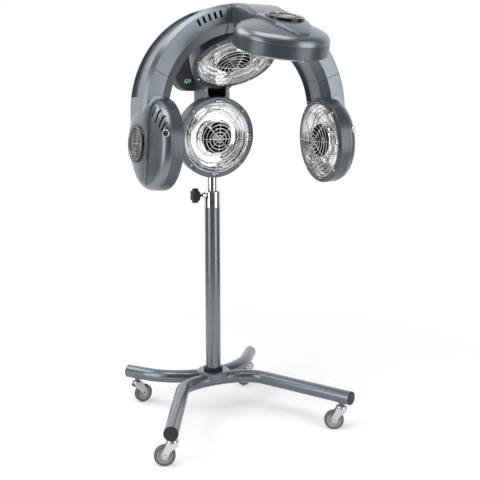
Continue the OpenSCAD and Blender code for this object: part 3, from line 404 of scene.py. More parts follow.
def rod(start, end, radius, steps=16, cap=0.12):
    start, end = Vector(start), Vector(end)
    length = (end - start).length
    soft = cap * radius * 2
    outline = [(0, 0), (radius - soft, 0), (radius, soft), (radius, length - soft),
               (radius - soft, length), (0, length)]
    points, faces = turned(outline, steps)
    place = Matrix.Translation(start) @ (end - start).to_track_quat("Z", "Y").to_matrix().to_4x4()
    return [place @ Vector(p) for p in points], faces


print("mesh makers ready")

# %% [markdown]
# ## Geometry Nodes, once for each kind of repeat
#
# A tree has named inputs for its sizes, which a modifier sets by the socket's identifier. The
# tree ends in Realize Instances and Set Material. Its result is turned into a plain mesh and
# the modifier goes, so what rides on a body is a finished mesh.

# %% Make a tree and grow a piece from it
SOCKET_KIND = {int: "NodeSocketInt", float: "NodeSocketFloat"}


def new_tree(name, sizes, extra=()):
    tree = bpy.data.node_groups.new(name, "GeometryNodeTree")
    for label, size in sizes.items():
        socket = tree.interface.new_socket(label, in_out="INPUT", socket_type=SOCKET_KIND[type(size)])
        socket.default_value = size
    for label, kind in extra:
        tree.interface.new_socket(label, in_out="INPUT", socket_type=kind)
    tree.interface.new_socket("Geometry", in_out="OUTPUT", socket_type="NodeSocketGeometry")
    given = tree.nodes.new("NodeGroupInput").outputs
    return tree, given


def end_tree(tree, geometry, finish_used):
    real = add(tree, "GeometryNodeRealizeInstances", Geometry=geometry)
    dressed = add(tree, "GeometryNodeSetMaterial", Geometry=real.outputs[0], Material=finish_used)
    result = tree.nodes.new("NodeGroupOutput")
    tree.links.new(dressed.outputs[0], result.inputs["Geometry"])


def grow(name, tree, sizes, place=None):
    made = bpy.data.objects.new(name, bpy.data.meshes.new(name))
    bpy.context.scene.collection.objects.link(made)
    modifier = made.modifiers.new("grow", "NODES")
    modifier.node_group = tree
    for label, size in sizes.items():
        modifier[tree.interface.items_tree[label].identifier] = size
    apply_modifiers(made)
    made.data.name = name
    if place is not None:
        made.data.transform(place)
    return made


print("tree makers ready")

# %% [markdown]
# ## The wire cage
#
# A guard is a shallow dome of round rings, held by straight wires that cross in the middle,
# some of which reach out over the front ring. The rings' heights follow a sphere through the
# guard's edge and its top. The intake grille at the back is the same thing, nearly flat. The
# wires are kept out of the mirror bowl's reflections, where they would only show as grain.

# %% A tree for rings and spokes on a dome
CAGE_SIZES = {"Rings": 10, "Inner": 0.011, "Outer": 0.1095, "Rise": 0.02, "Wire": 0.0024, "Spokes": 4,
              "Tabs": 4, "Reach": 0.121}


def cage_tree(name, finish_used):
    tree, given = new_tree(name, CAGE_SIZES)
    index = add(tree, "GeometryNodeInputIndex").outputs[0]
    last = calc(tree, "SUBTRACT", given["Rings"], 1.0)
    step = calc(tree, "DIVIDE", calc(tree, "SUBTRACT", given["Outer"], given["Inner"]), last)
    radius = calc(tree, "ADD", given["Inner"], calc(tree, "MULTIPLY", step, index))
    span = calc(tree, "ADD", square(tree, given["Outer"]), square(tree, given["Rise"]))
    ball = calc(tree, "DIVIDE", span, calc(tree, "MULTIPLY", given["Rise"], 2.0))
    drop = calc(tree, "SQRT", calc(tree, "SUBTRACT", square(tree, ball), square(tree, radius)))
    height = calc(tree, "SUBTRACT", calc(tree, "SUBTRACT", ball, given["Rise"]), drop)
    places = add(tree, "GeometryNodePoints", Count=given["Rings"], Position=vector(tree, z=height)).outputs[0]
    hoop = add(tree, "GeometryNodeCurvePrimitiveCircle", Resolution=72, Radius=1.0).outputs[0]
    rings = add(tree, "GeometryNodeInstanceOnPoints", Points=places, Instance=hoop,
                Scale=vector(tree, radius, radius, radius))
    top = calc(tree, "MULTIPLY", given["Rise"], -1.0)
    left = calc(tree, "MULTIPLY", given["Outer"], -1.0)
    arc = add(tree, "GeometryNodeCurveArc", {"mode": "POINTS"}, Resolution=25, Start=vector(tree, left),
              Middle=vector(tree, z=top), End=vector(tree, given["Outer"])).outputs["Curve"]
    half_turn = vector(tree, z=calc(tree, "MULTIPLY", index, calc(tree, "DIVIDE", pi, given["Spokes"])))
    crossing = add(tree, "GeometryNodePoints", Count=given["Spokes"]).outputs[0]
    spokes = add(tree, "GeometryNodeInstanceOnPoints", Points=crossing, Instance=arc, Rotation=half_turn)
    seat = calc(tree, "MULTIPLY", given["Wire"], -0.5)
    start = calc(tree, "SUBTRACT", given["Outer"], given["Wire"])
    tab = add(tree, "GeometryNodeCurvePrimitiveLine", Start=vector(tree, start, z=seat),
              End=vector(tree, given["Reach"], z=seat)).outputs[0]
    quarter = vector(tree, z=calc(tree, "MULTIPLY", index, pi / 2))
    corners = add(tree, "GeometryNodePoints", Count=given["Tabs"]).outputs[0]
    tabs = add(tree, "GeometryNodeInstanceOnPoints", Points=corners, Instance=tab, Rotation=quarter)
    curves = tree.nodes.new("GeometryNodeJoinGeometry")
    for part in (rings, spokes, tabs):
        tree.links.new(part.outputs[0], curves.inputs[0])
    real = add(tree, "GeometryNodeRealizeInstances", Geometry=curves.outputs[0]).outputs[0]
    thickness = calc(tree, "MULTIPLY", given["Wire"], 0.5)
    round_wire = add(tree, "GeometryNodeCurvePrimitiveCircle", Resolution=8, Radius=thickness).outputs[0]
    wires = add(tree, "GeometryNodeCurveToMesh", Curve=real, Profile_Curve=round_wire, Fill_Caps=True)
    end_tree(tree, wires.outputs[0], finish_used)
    return tree


guard_tree = cage_tree("wire_guard", guard_wire)
intake_tree = cage_tree("intake_rings", intake_silver)
for head, body in HEAD_BODY.items():
    guard = grow(head + "_wire_guard", guard_tree, CAGE_SIZES, HEAD_PLACE[head])
    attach(guard, body)
    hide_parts(head + "_guard")
    guard.visible_glossy = False
print("guard:", len(guard.data.vertices), "points each")

# %% [markdown]
# ## The intake grille
#
# On a head's back sits a round boss with silver rings over a black shaft, crossed by a
# vertical and a horizontal bar. Thicker, closer wires from the same tree lie on the moulded
# rings of the duct.

# %% Silver rings on each intake
BOSS_HEIGHT = 0.088
GRILLE_SINK = 0.0024
INTAKE_SIZES = {"Rings": 5, "Inner": 0.0119, "Outer": 0.0396, "Rise": 0.0006, "Wire": 0.0021, "Spokes": 2,
                "Tabs": 0, "Reach": 0.0396}
COLLAR_OUTLINE = [(0.0445, -0.0006), (0.0445, 0.0014), (0.0455, 0.0022), (0.0512, 0.0022),
                  (0.0524, 0.0008), (0.0524, -0.012), (0.0512, -0.012), (0.0512, -0.0006),
                  (0.0445, -0.0006)]
LIP_OUTLINE = [(0.0432, -0.0004), (0.0432, 0.0016), (0.0441, 0.0026), (0.0450, 0.0016),
               (0.0450, -0.0004), (0.0432, -0.0004)]
CAP_OUTLINE = [(0, -0.0016), (0.0058, -0.0018), (0.0064, -0.0030), (0, -0.0030)]
FLIP = Matrix.Rotation(pi, 4, "X")
for head, body in HEAD_BODY.items():
    sunk = HEAD_PLACE[head] @ Matrix.Translation((0, 0, BOSS_HEIGHT - GRILLE_SINK)) @ FLIP
    rings = grow(head + "_intake_rings", intake_tree, INTAKE_SIZES, sunk)
    on_boss = HEAD_PLACE[head] @ Matrix.Translation((0, 0, BOSS_HEIGHT))
    collar = turned_piece("boss_ring", COLLAR_OUTLINE, gloss_black, on_boss, steps=96)
    lip = turned_piece("boss_lip", LIP_OUTLINE, intake_silver, on_boss, steps=96)
    cap = turned_piece("middle_cap", CAP_OUTLINE, intake_silver, on_boss, steps=32)
    whole = joined(head + "_intake_grille", [rings, collar, lip, cap])
    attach(whole, body)
print("intake grille:", len(whole.data.vertices), "points each")

# %% [markdown]
# ## Things in a ring
#
# Screws, slots, clips, fan blades and ribs are copies of one small shape, set out round a
# circle. One tree serves them all: it reads the shape from an object and places it at even
# angles over a chosen sweep.

# %% A tree that repeats a shape round a circle
RING_SIZES = {"Count": 4, "Radius": 0.1, "Turn": 0.0, "Sweep": 2 * pi, "Height": 0.0}


def ring_tree(name, finish_used):
    tree, given = new_tree(name, RING_SIZES, [("Shape", "NodeSocketObject")])
    index = add(tree, "GeometryNodeInputIndex").outputs[0]
    step = calc(tree, "DIVIDE", given["Sweep"], given["Count"])
    angle = calc(tree, "ADD", given["Turn"], calc(tree, "MULTIPLY", step, index))
    x = calc(tree, "MULTIPLY", given["Radius"], calc(tree, "COSINE", angle))
    y = calc(tree, "MULTIPLY", given["Radius"], calc(tree, "SINE", angle))
    place = vector(tree, x, y, given["Height"])
    spots = add(tree, "GeometryNodePoints", Count=given["Count"], Position=place).outputs[0]
    shape = add(tree, "GeometryNodeObjectInfo", Object=given["Shape"]).outputs["Geometry"]
    copies = add(tree, "GeometryNodeInstanceOnPoints", Points=spots, Instance=shape,
                 Rotation=vector(tree, z=angle))
    end_tree(tree, copies.outputs[0], finish_used)
    return tree


def ring_of(name, tree, shape, place, **sizes):
    return grow(name, tree, {**RING_SIZES, **sizes, "Shape": shape}, place)


print("ring tree ready")

# %% [markdown]
# ## Screws
#
# Four pan-head screws hold each front ring. A pan head is a flat dome with a cross recess. The
# recess is cut for real: a Boolean takes a small cross out of the turned head, once, and the
# ring tree repeats the result.

# %% A pan-head screw and the four on each ring
SCREW_RADIUS = 0.0040
SCREW_HEIGHT = 0.0034
SCREW_CIRCLE = 0.1195


def pan_head(name, radius, height):
    outline = [(0, 0), (radius, 0), (radius, 0.25 * height), (0.9 * radius, 0.62 * height),
               (0.66 * radius, 0.88 * height), (0.35 * radius, 0.98 * height), (0, height)]
    head = turned_piece(name, outline, nickel, steps=24)
    arm, reach = 0.16 * radius, 0.62 * radius
    cross = [(arm, reach), (-arm, reach), (-arm, arm), (-reach, arm), (-reach, -arm), (-arm, -arm),
             (-arm, -reach), (arm, -reach), (arm, -arm), (reach, -arm), (reach, arm), (arm, arm)]
    cutter = mesh_piece("cross_cutter", *slab(cross, 0.5 * height, 1.5 * height), nickel, smooth=False)
    cut = head.modifiers.new("recess", "BOOLEAN")
    cut.object = cutter
    cut.operation = "DIFFERENCE"
    apply_modifiers(head)
    bpy.data.objects.remove(cutter)
    return head


screw = pan_head("screw_shape", SCREW_RADIUS, SCREW_HEIGHT)
screw_tree = ring_tree("ring_of_screws", nickel)
for head, body in HEAD_BODY.items():
    screws = ring_of(head + "_ring_screws", screw_tree, screw, HEAD_PLACE[head] @ FLIP,
                     Radius=SCREW_CIRCLE, Turn=pi / 4)
    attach(screws, body)
print("screws:", len(screws.data.vertices), "points a ring")

# %% [markdown]
# ## Slots and clips on the front ring
#
# Beside each screw the ring has a short dark slot, and halfway between the screws a longer one,
# where the guard's wires are hooked in under a flat bright clip. Each is a thin bevelled slab,
# repeated by the same ring tree.

# %% Dark slots and bright clips
CLIP_CIRCLE = 0.1152
NOTCH_CIRCLE = 0.1200
NOTCH_TURN = radians(6)
SLAB_ROOT = 0.0002


def slab_shape(name, deep, wide, high, finish_used):
    outline = rectangle(-deep / 2, -wide / 2, deep / 2, wide / 2)
    block = mesh_piece(name, *slab(outline, -SLAB_ROOT, high), finish_used, smooth=False)
    return bevelled(block, 0.25 * high + SLAB_ROOT / 2)


notch = slab_shape("notch_shape", deep=0.0034, wide=0.0090, high=0.0004, finish_used=black_plastic)
long_slot = slab_shape("slot_shape", deep=0.0056, wide=0.0300, high=0.0004, finish_used=black_plastic)
clip = slab_shape("clip_shape", deep=0.0020, wide=0.0240, high=0.0012, finish_used=nickel)
slot_tree = ring_tree("ring_of_slots", black_plastic)
clip_tree = ring_tree("ring_of_clips", nickel)
for head, body in HEAD_BODY.items():
    facing = HEAD_PLACE[head] @ FLIP
    notches = ring_of("notches", slot_tree, notch, facing, Radius=NOTCH_CIRCLE, Turn=pi / 4 + NOTCH_TURN)
    slots = ring_of("slots", slot_tree, long_slot, facing, Radius=CLIP_CIRCLE)
    dark = joined(head + "_ring_slots", [notches, slots])
    clips = ring_of(head + "_ring_clips", clip_tree, clip, facing, Radius=CLIP_CIRCLE)
    for piece in (dark, clips):
        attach(piece, body)
print("slots and clips on", len(HEAD_BODY), "rings")

# %% [markdown]
# ## The mirror bowl
#
# Behind the guard lies a bright aluminium bowl, spun on a lathe. Its steps are soft where the
# metal was rolled over the former, and its middle ends in a rolled lip round the air outlet.
# Spinning leaves fine rings, so the finish needs to know the distance from the bowl's own
# axis: a mesh attribute keeps it, whichever way the head is turned.

# %% Spun aluminium
SPIN_LINES = 1400.0


def spun_finish(name):
    material, tree, shader = new_finish(name, Metallic=1.0)
    away = add(tree, "ShaderNodeAttribute", {"attribute_name": "spin_radius"}).outputs["Fac"]
    rings = add(tree, "ShaderNodeTexNoise", {"noise_dimensions": "1D"}, W=away, Scale=SPIN_LINES, Detail=2.0)
    tint(tree, shader, rings.outputs["Fac"], (0.86, 0.86, 0.86), (0.94, 0.93, 0.92))
    feed(tree, shader.inputs["Roughness"], spread(tree, speckle(tree, 14.0, 3.0), 0.09, 0.15))
    relief(tree, shader, speckle(tree, 18.0, 0.0), 0.00016)
    return material


spun_aluminium = spun_finish("spun_aluminium")
MOUTH = 0.111
RIM_DEPTH = 0.034
BOWL_SHEET = 0.0012
BOWL_SHARES = [(1.015, 0.10), (1.0, 0.075), (0.985, 0.10), (0.975, 0.26), (0.962, 0.40), (0.945, 0.455),
               (0.905, 0.49), (0.893, 0.54), (0.884, 0.64), (0.872, 0.685), (0.80, 0.715), (0.778, 0.745),
               (0.768, 0.82), (0.752, 0.865), (0.66, 0.89), (0.56, 0.89), (0.50, 0.865), (0.462, 0.79),
               (0.459, 0.62), (0.459, 0.10)]


def keep_radius(piece):
    record = piece.data.attributes.new("spin_radius", "FLOAT", "POINT")
    record.data.foreach_set("value", [sqrt(v.co.x ** 2 + v.co.y ** 2) for v in piece.data.vertices])


def bowl(name):
    face = [(r * MOUTH, z * RIM_DEPTH) for r, z in BOWL_SHARES]
    back = [(r * MOUTH + BOWL_SHEET * (0.4 if r > 0.5 else -1.0), z * RIM_DEPTH + BOWL_SHEET)
            for r, z in reversed(BOWL_SHARES)]
    made = turned_piece(name, face + back + face[:1], spun_aluminium, steps=128)
    merge_points(made)
    keep_radius(made)
    return made


print("bowl outline of", len(BOWL_SHARES), "points")

# %% [markdown]
# ## The lamps
#
# Two quartz tubes lie across each bowl. A tube is pale, milky quartz, so its filament doesn't
# show, with a white ceramic block on each end and a bent metal strip that stands on the bowl.
# Each lamp is modelled along Y and then turned to its place. Flat outlines are drawn in X and
# Y, and one matrix stands them upright.

# %% Quartz tubes in ceramic holders
UPRIGHT = Matrix.Rotation(pi / 2, 4, "X")
quartz = finish("quartz", (0.80, 0.81, 0.82), (0.90, 0.90, 0.90), gloss=(0.06, 0.16),
                scale=200.0, depth=0.00002, Transmission_Weight=0.35)
ceramic = finish("ceramic", (0.78, 0.76, 0.72), (0.88, 0.86, 0.83), gloss=(0.4, 0.55),
                 scale=700.0, depth=0.00008)
LAMP_RADIUS = 0.0045
LAMP_LENGTH = 0.100
LAMP_OFFSET = 0.078
LAMP_HEIGHT = 0.0112
HOLDER_LENGTH = 0.012
HOLDER_BLOCK = rectangle(-0.0062, -0.0058, 0.0062, 0.0058)
FOOT_STRIP = rectangle(-0.0050, 0.0056, 0.0050, 0.0190)
STRIP_HALF = 0.0006
STRIP_SHARE = 0.8
HOLDER_EDGE = 0.0012


def lamp(name, turn):
    half = LAMP_LENGTH / 2
    place = Matrix.Rotation(turn, 4, "Z") @ Matrix.Translation((LAMP_OFFSET, 0, LAMP_HEIGHT))
    tube = rod((0, -half, 0), (0, half, 0), LAMP_RADIUS, steps=24, cap=0.3)
    parts = [mesh_piece("tube", *tube, quartz, place)]
    for side in (-1, 1):
        at_end = place @ Matrix.Translation((0, side * (half - HOLDER_LENGTH / 2), 0)) @ UPRIGHT
        block = mesh_piece("block", *slab(HOLDER_BLOCK, -HOLDER_LENGTH / 2, HOLDER_LENGTH / 2), ceramic,
                           at_end, smooth=False)
        parts.append(bevelled(block, HOLDER_EDGE))
        at_foot = place @ Matrix.Translation((0, side * (half - HOLDER_LENGTH * STRIP_SHARE), 0)) @ UPRIGHT
        parts.append(mesh_piece("strip", *slab(FOOT_STRIP, -STRIP_HALF, STRIP_HALF), zinc, at_foot,
                                smooth=False))
    return joined(name, parts)


LAMP_TURN = {"rear": pi / 4, "crown": pi / 4, "front": pi / 4, "left": 3 * pi / 4, "right": pi / 4}
for head, body in HEAD_BODY.items():
    dish = bowl(head + "_dish")
    pair = [lamp("lamp", LAMP_TURN[head] + k * pi) for k in (0, 1)]
    lamps = joined(head + "_lamps", pair)
    for piece in (dish, lamps):
        piece.data.transform(HEAD_PLACE[head])
        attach(piece, body)
    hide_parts(head + "_reflector")
print("dish:", len(dish.data.vertices), "points; lamps:", len(lamps.data.vertices))

# %% [markdown]
# ## The fan
#
# The fan behind the outlet has a cup-shaped hub and curved, twisted blades. One blade is a
# thin curved grid, given thickness by Solidify, and the ring tree makes seven of it. A plain
# pale disc lies on the hub.

# %% Blades, hub and disc
BLADE_COUNT = 7
HUB_RADIUS = 0.020
TIP_RADIUS = 0.0452
FAN_FRONT = 0.014
BLADE_ROOT = 0.001
ROOT_PITCH, TWIST = 52, 20
ROOT_CHORD, CHORD_GAIN = 0.018, 0.010
BLADE_BOW, BLADE_SWEEP = 0.0028, 0.28
BLADE_LOW, BLADE_MIDDLE, BLADE_HIGH = 0.0015, 0.013, 0.0245
BLADE_WALL = 0.0014


def blade_shape(name, across=8, along=6):
    points, faces = [], []
    for i in range(along + 1):
        share = i / along
        radius = HUB_RADIUS - BLADE_ROOT + share * (TIP_RADIUS - HUB_RADIUS + BLADE_ROOT)
        pitch = radians(ROOT_PITCH - TWIST * share)
        chord = ROOT_CHORD + CHORD_GAIN * share
        for k in range(across + 1):
            run = (k / across - 0.5) * chord
            bow = BLADE_BOW * (1 - (2 * k / across - 1) ** 2)
            swing = run * cos(pitch) + bow * sin(pitch)
            depth = BLADE_MIDDLE + run * sin(pitch) - bow * cos(pitch)
            angle = swing / radius + BLADE_SWEEP * share
            height = FAN_FRONT + min(max(depth, BLADE_LOW), BLADE_HIGH)
            points.append((radius * cos(angle), radius * sin(angle), height))
    for i in range(along):
        for k in range(across):
            corner = i * (across + 1) + k
            faces.append([corner, corner + 1, corner + across + 2, corner + across + 1])
    blade = mesh_piece(name, points, faces, black_plastic)
    wall = blade.modifiers.new("wall", "SOLIDIFY")
    wall.thickness = BLADE_WALL
    wall.offset = 0.0
    return apply_modifiers(blade)


blade = blade_shape("blade_shape")
blade_tree = ring_tree("ring_of_blades", black_plastic)
hub_disc = finish("hub_disc", (0.30, 0.46, 0.62), (0.55, 0.66, 0.76), gloss=(0.3, 0.4), scale=160.0,
                  depth=0.00002)
HUB_PROFILE = [(0, 0), (0.0185, 0), (HUB_RADIUS, 0.0015), (HUB_RADIUS, 0.026), (0.018, 0.026),
               (0.018, 0.003), (0.007, 0.003), (0.007, 0.024), (0.0031, 0.024), (0.0031, 0.003), (0, 0.003)]
HUB_OUTLINE = [(radius, FAN_FRONT + depth) for radius, depth in HUB_PROFILE]
DISC_OUTLINE = [(0, -0.0004), (0.0112, -0.0004), (0.0115, 0.0001), (0, 0.0001)]
for head in HEAD_BODY:
    place = HEAD_PLACE[head]
    blades = ring_of("blades", blade_tree, blade, place, Count=BLADE_COUNT, Radius=0.0)
    hub = turned_piece("hub", HUB_OUTLINE, black_plastic, place, steps=48)
    on_hub = place @ Matrix.Translation((0, 0, FAN_FRONT))
    disc = turned_piece("disc", DISC_OUTLINE, hub_disc, on_hub, steps=48)
    rotor = joined(head + "_rotor", [blades, hub, disc])
    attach(rotor, head + "_fan")
    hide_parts(head + "_fan")
print("rotor:", len(rotor.data.vertices), "points each")

# %% [markdown]
# ## Motor leads
#
# Behind the blades a few red and orange leads run from the motor to the wall of the duct. They
# are short curved tubes, thick enough to flash between the blades as they do in the photograph.

# %% Leads
lead_red = finish("lead_red", (0.55, 0.03, 0.01), (0.75, 0.07, 0.02), gloss=(0.35, 0.45), scale=300.0,
                  depth=0.00002)
lead_orange = finish("lead_orange", (0.80, 0.16, 0.03), (0.95, 0.26, 0.06), gloss=(0.35, 0.45),
                     scale=300.0, depth=0.00002)


def tube_along(name, route, radius, finish_used, place):
    curve = bpy.data.curves.new(name, "CURVE")
    curve.dimensions = "3D"
    curve.bevel_depth = radius
    curve.bevel_resolution = 2
    curve.resolution_u = 6
    curve.use_fill_caps = True
    spline = curve.splines.new("NURBS")
    spline.points.add(len(route) - 1)
    for point, spot in zip(spline.points, route):
        point.co = (*spot, 1.0)
    spline.order_u = 3
    spline.use_endpoint_u = True
    holder = bpy.data.objects.new(name, curve)
    bpy.context.scene.collection.objects.link(holder)
    bpy.context.view_layer.update()
    mesh = bpy.data.meshes.new_from_object(holder.evaluated_get(bpy.context.evaluated_depsgraph_get()))
    bpy.data.objects.remove(holder)
    mesh.transform(place)
    mesh.materials.clear()
    mesh.materials.append(finish_used)
    for face in mesh.polygons:
        face.use_smooth = True
    made = bpy.data.objects.new(name, mesh)
    bpy.context.scene.collection.objects.link(made)
    return made


LEAD_RADIUS = 0.0015
LEAD_ROUTE = [(0.0185, 0.056), (0.026, 0.046), (0.036, 0.0435), (0.0468, 0.047)]
LEADS = [(radians(112), lead_red), (radians(128), lead_orange), (radians(300), lead_orange)]
for head, body in HEAD_BODY.items():
    parts = []
    for turn, finish_used in LEADS:
        route = [(r * cos(turn), r * sin(turn), z) for r, z in LEAD_ROUTE]
        parts.append(tube_along("lead", route, LEAD_RADIUS, finish_used, HEAD_PLACE[head]))
    leads = joined(head + "_motor_leads", parts)
    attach(leads, body)
print("leads on", len(HEAD_BODY), "heads")

# %% [markdown]
# ## Casters
#
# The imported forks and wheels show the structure. The real fork is pressed from bright zinc
# plated sheet, with a swivel cup of balls on top, and the wheel is a grey tyre on a paler
# core. Both are built in the caster's own frame: the swivel axis on Z, the wheel trailing
# toward +X and the axle along Y.

# %% Caster frames from the joints
TRAIL = 0.022
AXLE_HEIGHT = 0.031
WHEEL_RADIUS = 0.031
WHEEL_HALF = 0.010
FORK_GAP = 0.0125
FORK_SHEET = 0.0022


def caster_place(corner):
    stem = Vector(JOINTS["swivel_" + corner]["pos_m"])
    axle = Vector(JOINTS["roll_" + corner]["pos_m"])
    ahead = axle - stem
    return Matrix.Translation((stem.x, stem.y, 0)) @ Matrix.Rotation(atan2(ahead.y, ahead.x), 4, "Z")


CORNERS = ("fl", "fr", "rl", "rr")
for corner in CORNERS:
    print(corner, "caster at", [round(c, 3) for c in caster_place(corner).translation])

# %% Outlines of the fork, its swivel cup and the wheel
FORK_OUTLINE = [(-0.0155, 0.0720), (-0.0165, 0.0640), (-0.0140, 0.0590), (-0.0020, 0.0500),
                (0.0075, 0.0400), (0.0125, 0.0300), (0.0150, 0.0255), (0.0185, 0.0230), (0.0225, 0.0222),
                (0.0265, 0.0235), (0.0295, 0.0270), (0.0305, 0.0320), (0.0290, 0.0420), (0.0250, 0.0530),
                (0.0185, 0.0640), (0.0170, 0.0720)]
CUP_OUTLINE = [(0, 0.0866), (0.0072, 0.0866), (0.0072, 0.0806), (0.0120, 0.0800), (0.0165, 0.0775),
               (0.0182, 0.0745), (0.0176, 0.0728), (0.0150, 0.0722), (0.0176, 0.0716), (0.0180, 0.0694),
               (0.0150, 0.0680), (0, 0.0680)]
TYRE_HALF = [(0.0225, -0.0072), (0.0232, -0.0094), (0.0260, -WHEEL_HALF), (0.0288, -0.0092),
             (0.0305, -0.0070), (WHEEL_RADIUS, -0.0035)]
CORE_HALF = [(0.0041, -0.0108), (0.0078, -0.0108), (0.0084, -0.0100), (0.0086, -0.0062),
             (0.0190, -0.0052), (0.0200, -0.0084), (0.0218, -0.0090), (0.0228, -0.0080)]


def both_sides(half):
    return half + [(radius, -height) for radius, height in reversed(half)] + half[:1]


print("tyre outline of", len(both_sides(TYRE_HALF)), "points")

# %% Four pressed forks with their wheels
BRIDGE_SHEET = 0.0022
NUT_RADIUS, NUT_SINK, NUT_END = 0.0062, 0.0002, 0.0052
STUB_RADIUS, STUB_END = 0.0034, 0.0066
AXLE_RADIUS = 0.0039
PRESSED_EDGE = 0.0006


def fork(name, place):
    parts = [turned_piece("cup", CUP_OUTLINE, zinc, steps=48)]
    for side in (-1, 1):
        low = side * FORK_GAP - FORK_SHEET / 2
        plate = mesh_piece("plate", *slab(FORK_OUTLINE, low, low + FORK_SHEET), zinc, UPRIGHT, smooth=False)
        parts.append(bevelled(plate, PRESSED_EDGE))
        start = (TRAIL, side * (FORK_GAP + FORK_SHEET / 2 - NUT_SINK), AXLE_HEIGHT)
        nut_end, stub_end = ((TRAIL, side * (FORK_GAP + end), AXLE_HEIGHT) for end in (NUT_END, STUB_END))
        nut = rod(start, nut_end, NUT_RADIUS, steps=6, cap=0.06)
        parts.append(mesh_piece("nut", *nut, zinc, smooth=False))
        parts.append(mesh_piece("stub", *rod(start, stub_end, STUB_RADIUS), zinc))
    (back, top), (ahead, _) = FORK_OUTLINE[0], FORK_OUTLINE[-1]
    bridge = slab(rectangle(back, -FORK_GAP, ahead, FORK_GAP), top - BRIDGE_SHEET, top)
    parts.append(bevelled(mesh_piece("bridge", *bridge, zinc, smooth=False), PRESSED_EDGE))
    ends = [(TRAIL, side * FORK_GAP, AXLE_HEIGHT) for side in (-1, 1)]
    parts.append(mesh_piece("axle", *rod(*ends, AXLE_RADIUS), pin_steel))
    made = joined(name, parts)
    made.data.transform(place)
    return made


for corner in CORNERS:
    place = caster_place(corner)
    pressed = fork("fork_" + corner + "_pressed", place)
    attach(pressed, "fork_" + corner)
    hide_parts("caster_fork_" + corner)
    hub_place = place @ Matrix.Translation((TRAIL, 0, AXLE_HEIGHT)) @ UPRIGHT
    tyre = turned_piece("tyre", both_sides(TYRE_HALF), tyre_rubber, hub_place, steps=72)
    core = turned_piece("core", both_sides(CORE_HALF), wheel_core, hub_place, steps=48)
    rolling = joined("wheel_" + corner + "_turned", [tyre, core])
    merge_points(rolling)
    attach(rolling, "wheel_" + corner)
    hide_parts("caster_wheel_" + corner)
print("casters dressed")

# %% [markdown]
# ## Push buttons
#
# A side head has one round push button below its cooling slots. It is a chrome cap in a raised
# chrome ring, so the ring is turned round the press joint's axis, where the button leaves the
# dome, and stays on the arm while the button travels.

# %% A ring round each side button
BUTTON_RADIUS = 0.0070
BEZEL_OUTLINE = [(0.0074, -0.0120), (0.0074, -0.0015), (0.0080, -0.0006), (0.0092, -0.0012),
                 (0.0100, -0.0030), (0.0100, -0.0120), (0.0074, -0.0120)]
for side in ("left", "right"):
    low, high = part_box(side + "_button")
    inward = Vector(JOINTS[side + "_press"]["axis"]).normalized()
    middle = (low + high) / 2
    half = max((high - low).dot(Vector(map(abs, inward))) / 2 - BUTTON_RADIUS, 0.0)
    face = Matrix.Translation(middle) @ (-inward).to_track_quat("Z", "Y").to_matrix().to_4x4()
    round_button = [(radius, half + height) for radius, height in BEZEL_OUTLINE]
    bezel = turned_piece(side + "_button_ring", round_button, chrome, face, steps=48)
    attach(bezel, HEAD_BODY[side])
print("rings round the side buttons")

# %% [markdown]
# ## The yoke's slot
#
# The knuckle tilts in a deep slot of the yoke. A glossy black channel lines the slot, closed at the
# back, so no light comes through under the knuckle. Its black is painted shade for the dark deep
# in the slot, where the yoke's own paint would show. It follows the slot's own rounded corners and
# stays clear of the knuckle's path. Two dark screws hold the yoke's cheeks.

# %% A black channel, painted shade in the slot
YOKE_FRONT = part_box("rear_yoke")[0].y
TILT_Z = JOINTS["crown_tilt"]["pos_m"][2]
SLOT_HALF = 0.0307
SLOT_FLOOR = TILT_Z - 0.0377
SLOT_CORNER = 0.0117
LINER_WALL = 0.0008
LINER_FRONT, LINER_BACK = YOKE_FRONT + 0.002, 0.031
LINER_TOP, BACK_TOP = TILT_Z - 0.026, TILT_Z - 0.004
BACK_SHEET = 0.002


def slot_outline(inset):
    half, floor, corner = SLOT_HALF - inset, SLOT_FLOOR + inset, SLOT_CORNER - inset
    turns = [radians(180 + 90 * k / 8) for k in range(9)]
    left = [(corner - half + corner * cos(a), floor + corner + corner * sin(a)) for a in turns]
    return left + [(-x, z) for x, z in reversed(left)]


def channel(name, front, back, top):
    outer = [(-SLOT_HALF, top)] + slot_outline(0.0) + [(SLOT_HALF, top)]
    inner = [(-SLOT_HALF + LINER_WALL, top)] + slot_outline(LINER_WALL) + [(SLOT_HALF - LINER_WALL, top)]
    loop = outer + inner[::-1]
    count, half = len(loop), len(outer)
    points = [(x, y, z) for y in (front, back) for x, z in loop]
    faces = [[k, (k + 1) % count, count + (k + 1) % count, count + k] for k in range(count)]
    for start in (0, count):
        faces += [[start + k, start + k + 1, start + count - 2 - k, start + count - 1 - k]
                  for k in range(half - 1)]
    return mesh_piece(name, points, faces, gloss_black, smooth=False)


def back_wall(name, near, far, top):
    outline = [(-SLOT_HALF, top)] + slot_outline(0.0) + [(SLOT_HALF, top)]
    return mesh_piece(name, *slab(outline, -far, -near), gloss_black, UPRIGHT, smooth=False)


slot_shade_lining = joined("yoke_slot_liner", [channel("walls", LINER_FRONT, LINER_BACK, LINER_TOP),
                                   back_wall("back", LINER_BACK, LINER_BACK + BACK_SHEET, BACK_TOP)])
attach(slot_shade_lining, "rear_head")
print("yoke slot lined, floor at", round(SLOT_FLOOR, 4))

# %% Two cheek screws
CHEEK_X = 0.0370
CHEEK_DROP = 0.017
CHEEK_HEAD = (0.0030, 0.0018)
cheek_screws = []
for side in (-1, 1):
    small = pan_head("cheek_screw", *CHEEK_HEAD)
    small.data.materials[0] = pin_steel
    small.data.transform(Matrix.Translation((side * CHEEK_X, YOKE_FRONT, TILT_Z - CHEEK_DROP)) @ UPRIGHT)
    cheek_screws.append(small)
cheeks = joined("yoke_screws", cheek_screws)
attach(cheeks, "rear_head")
print("cheek screws:", len(cheeks.data.vertices), "points")

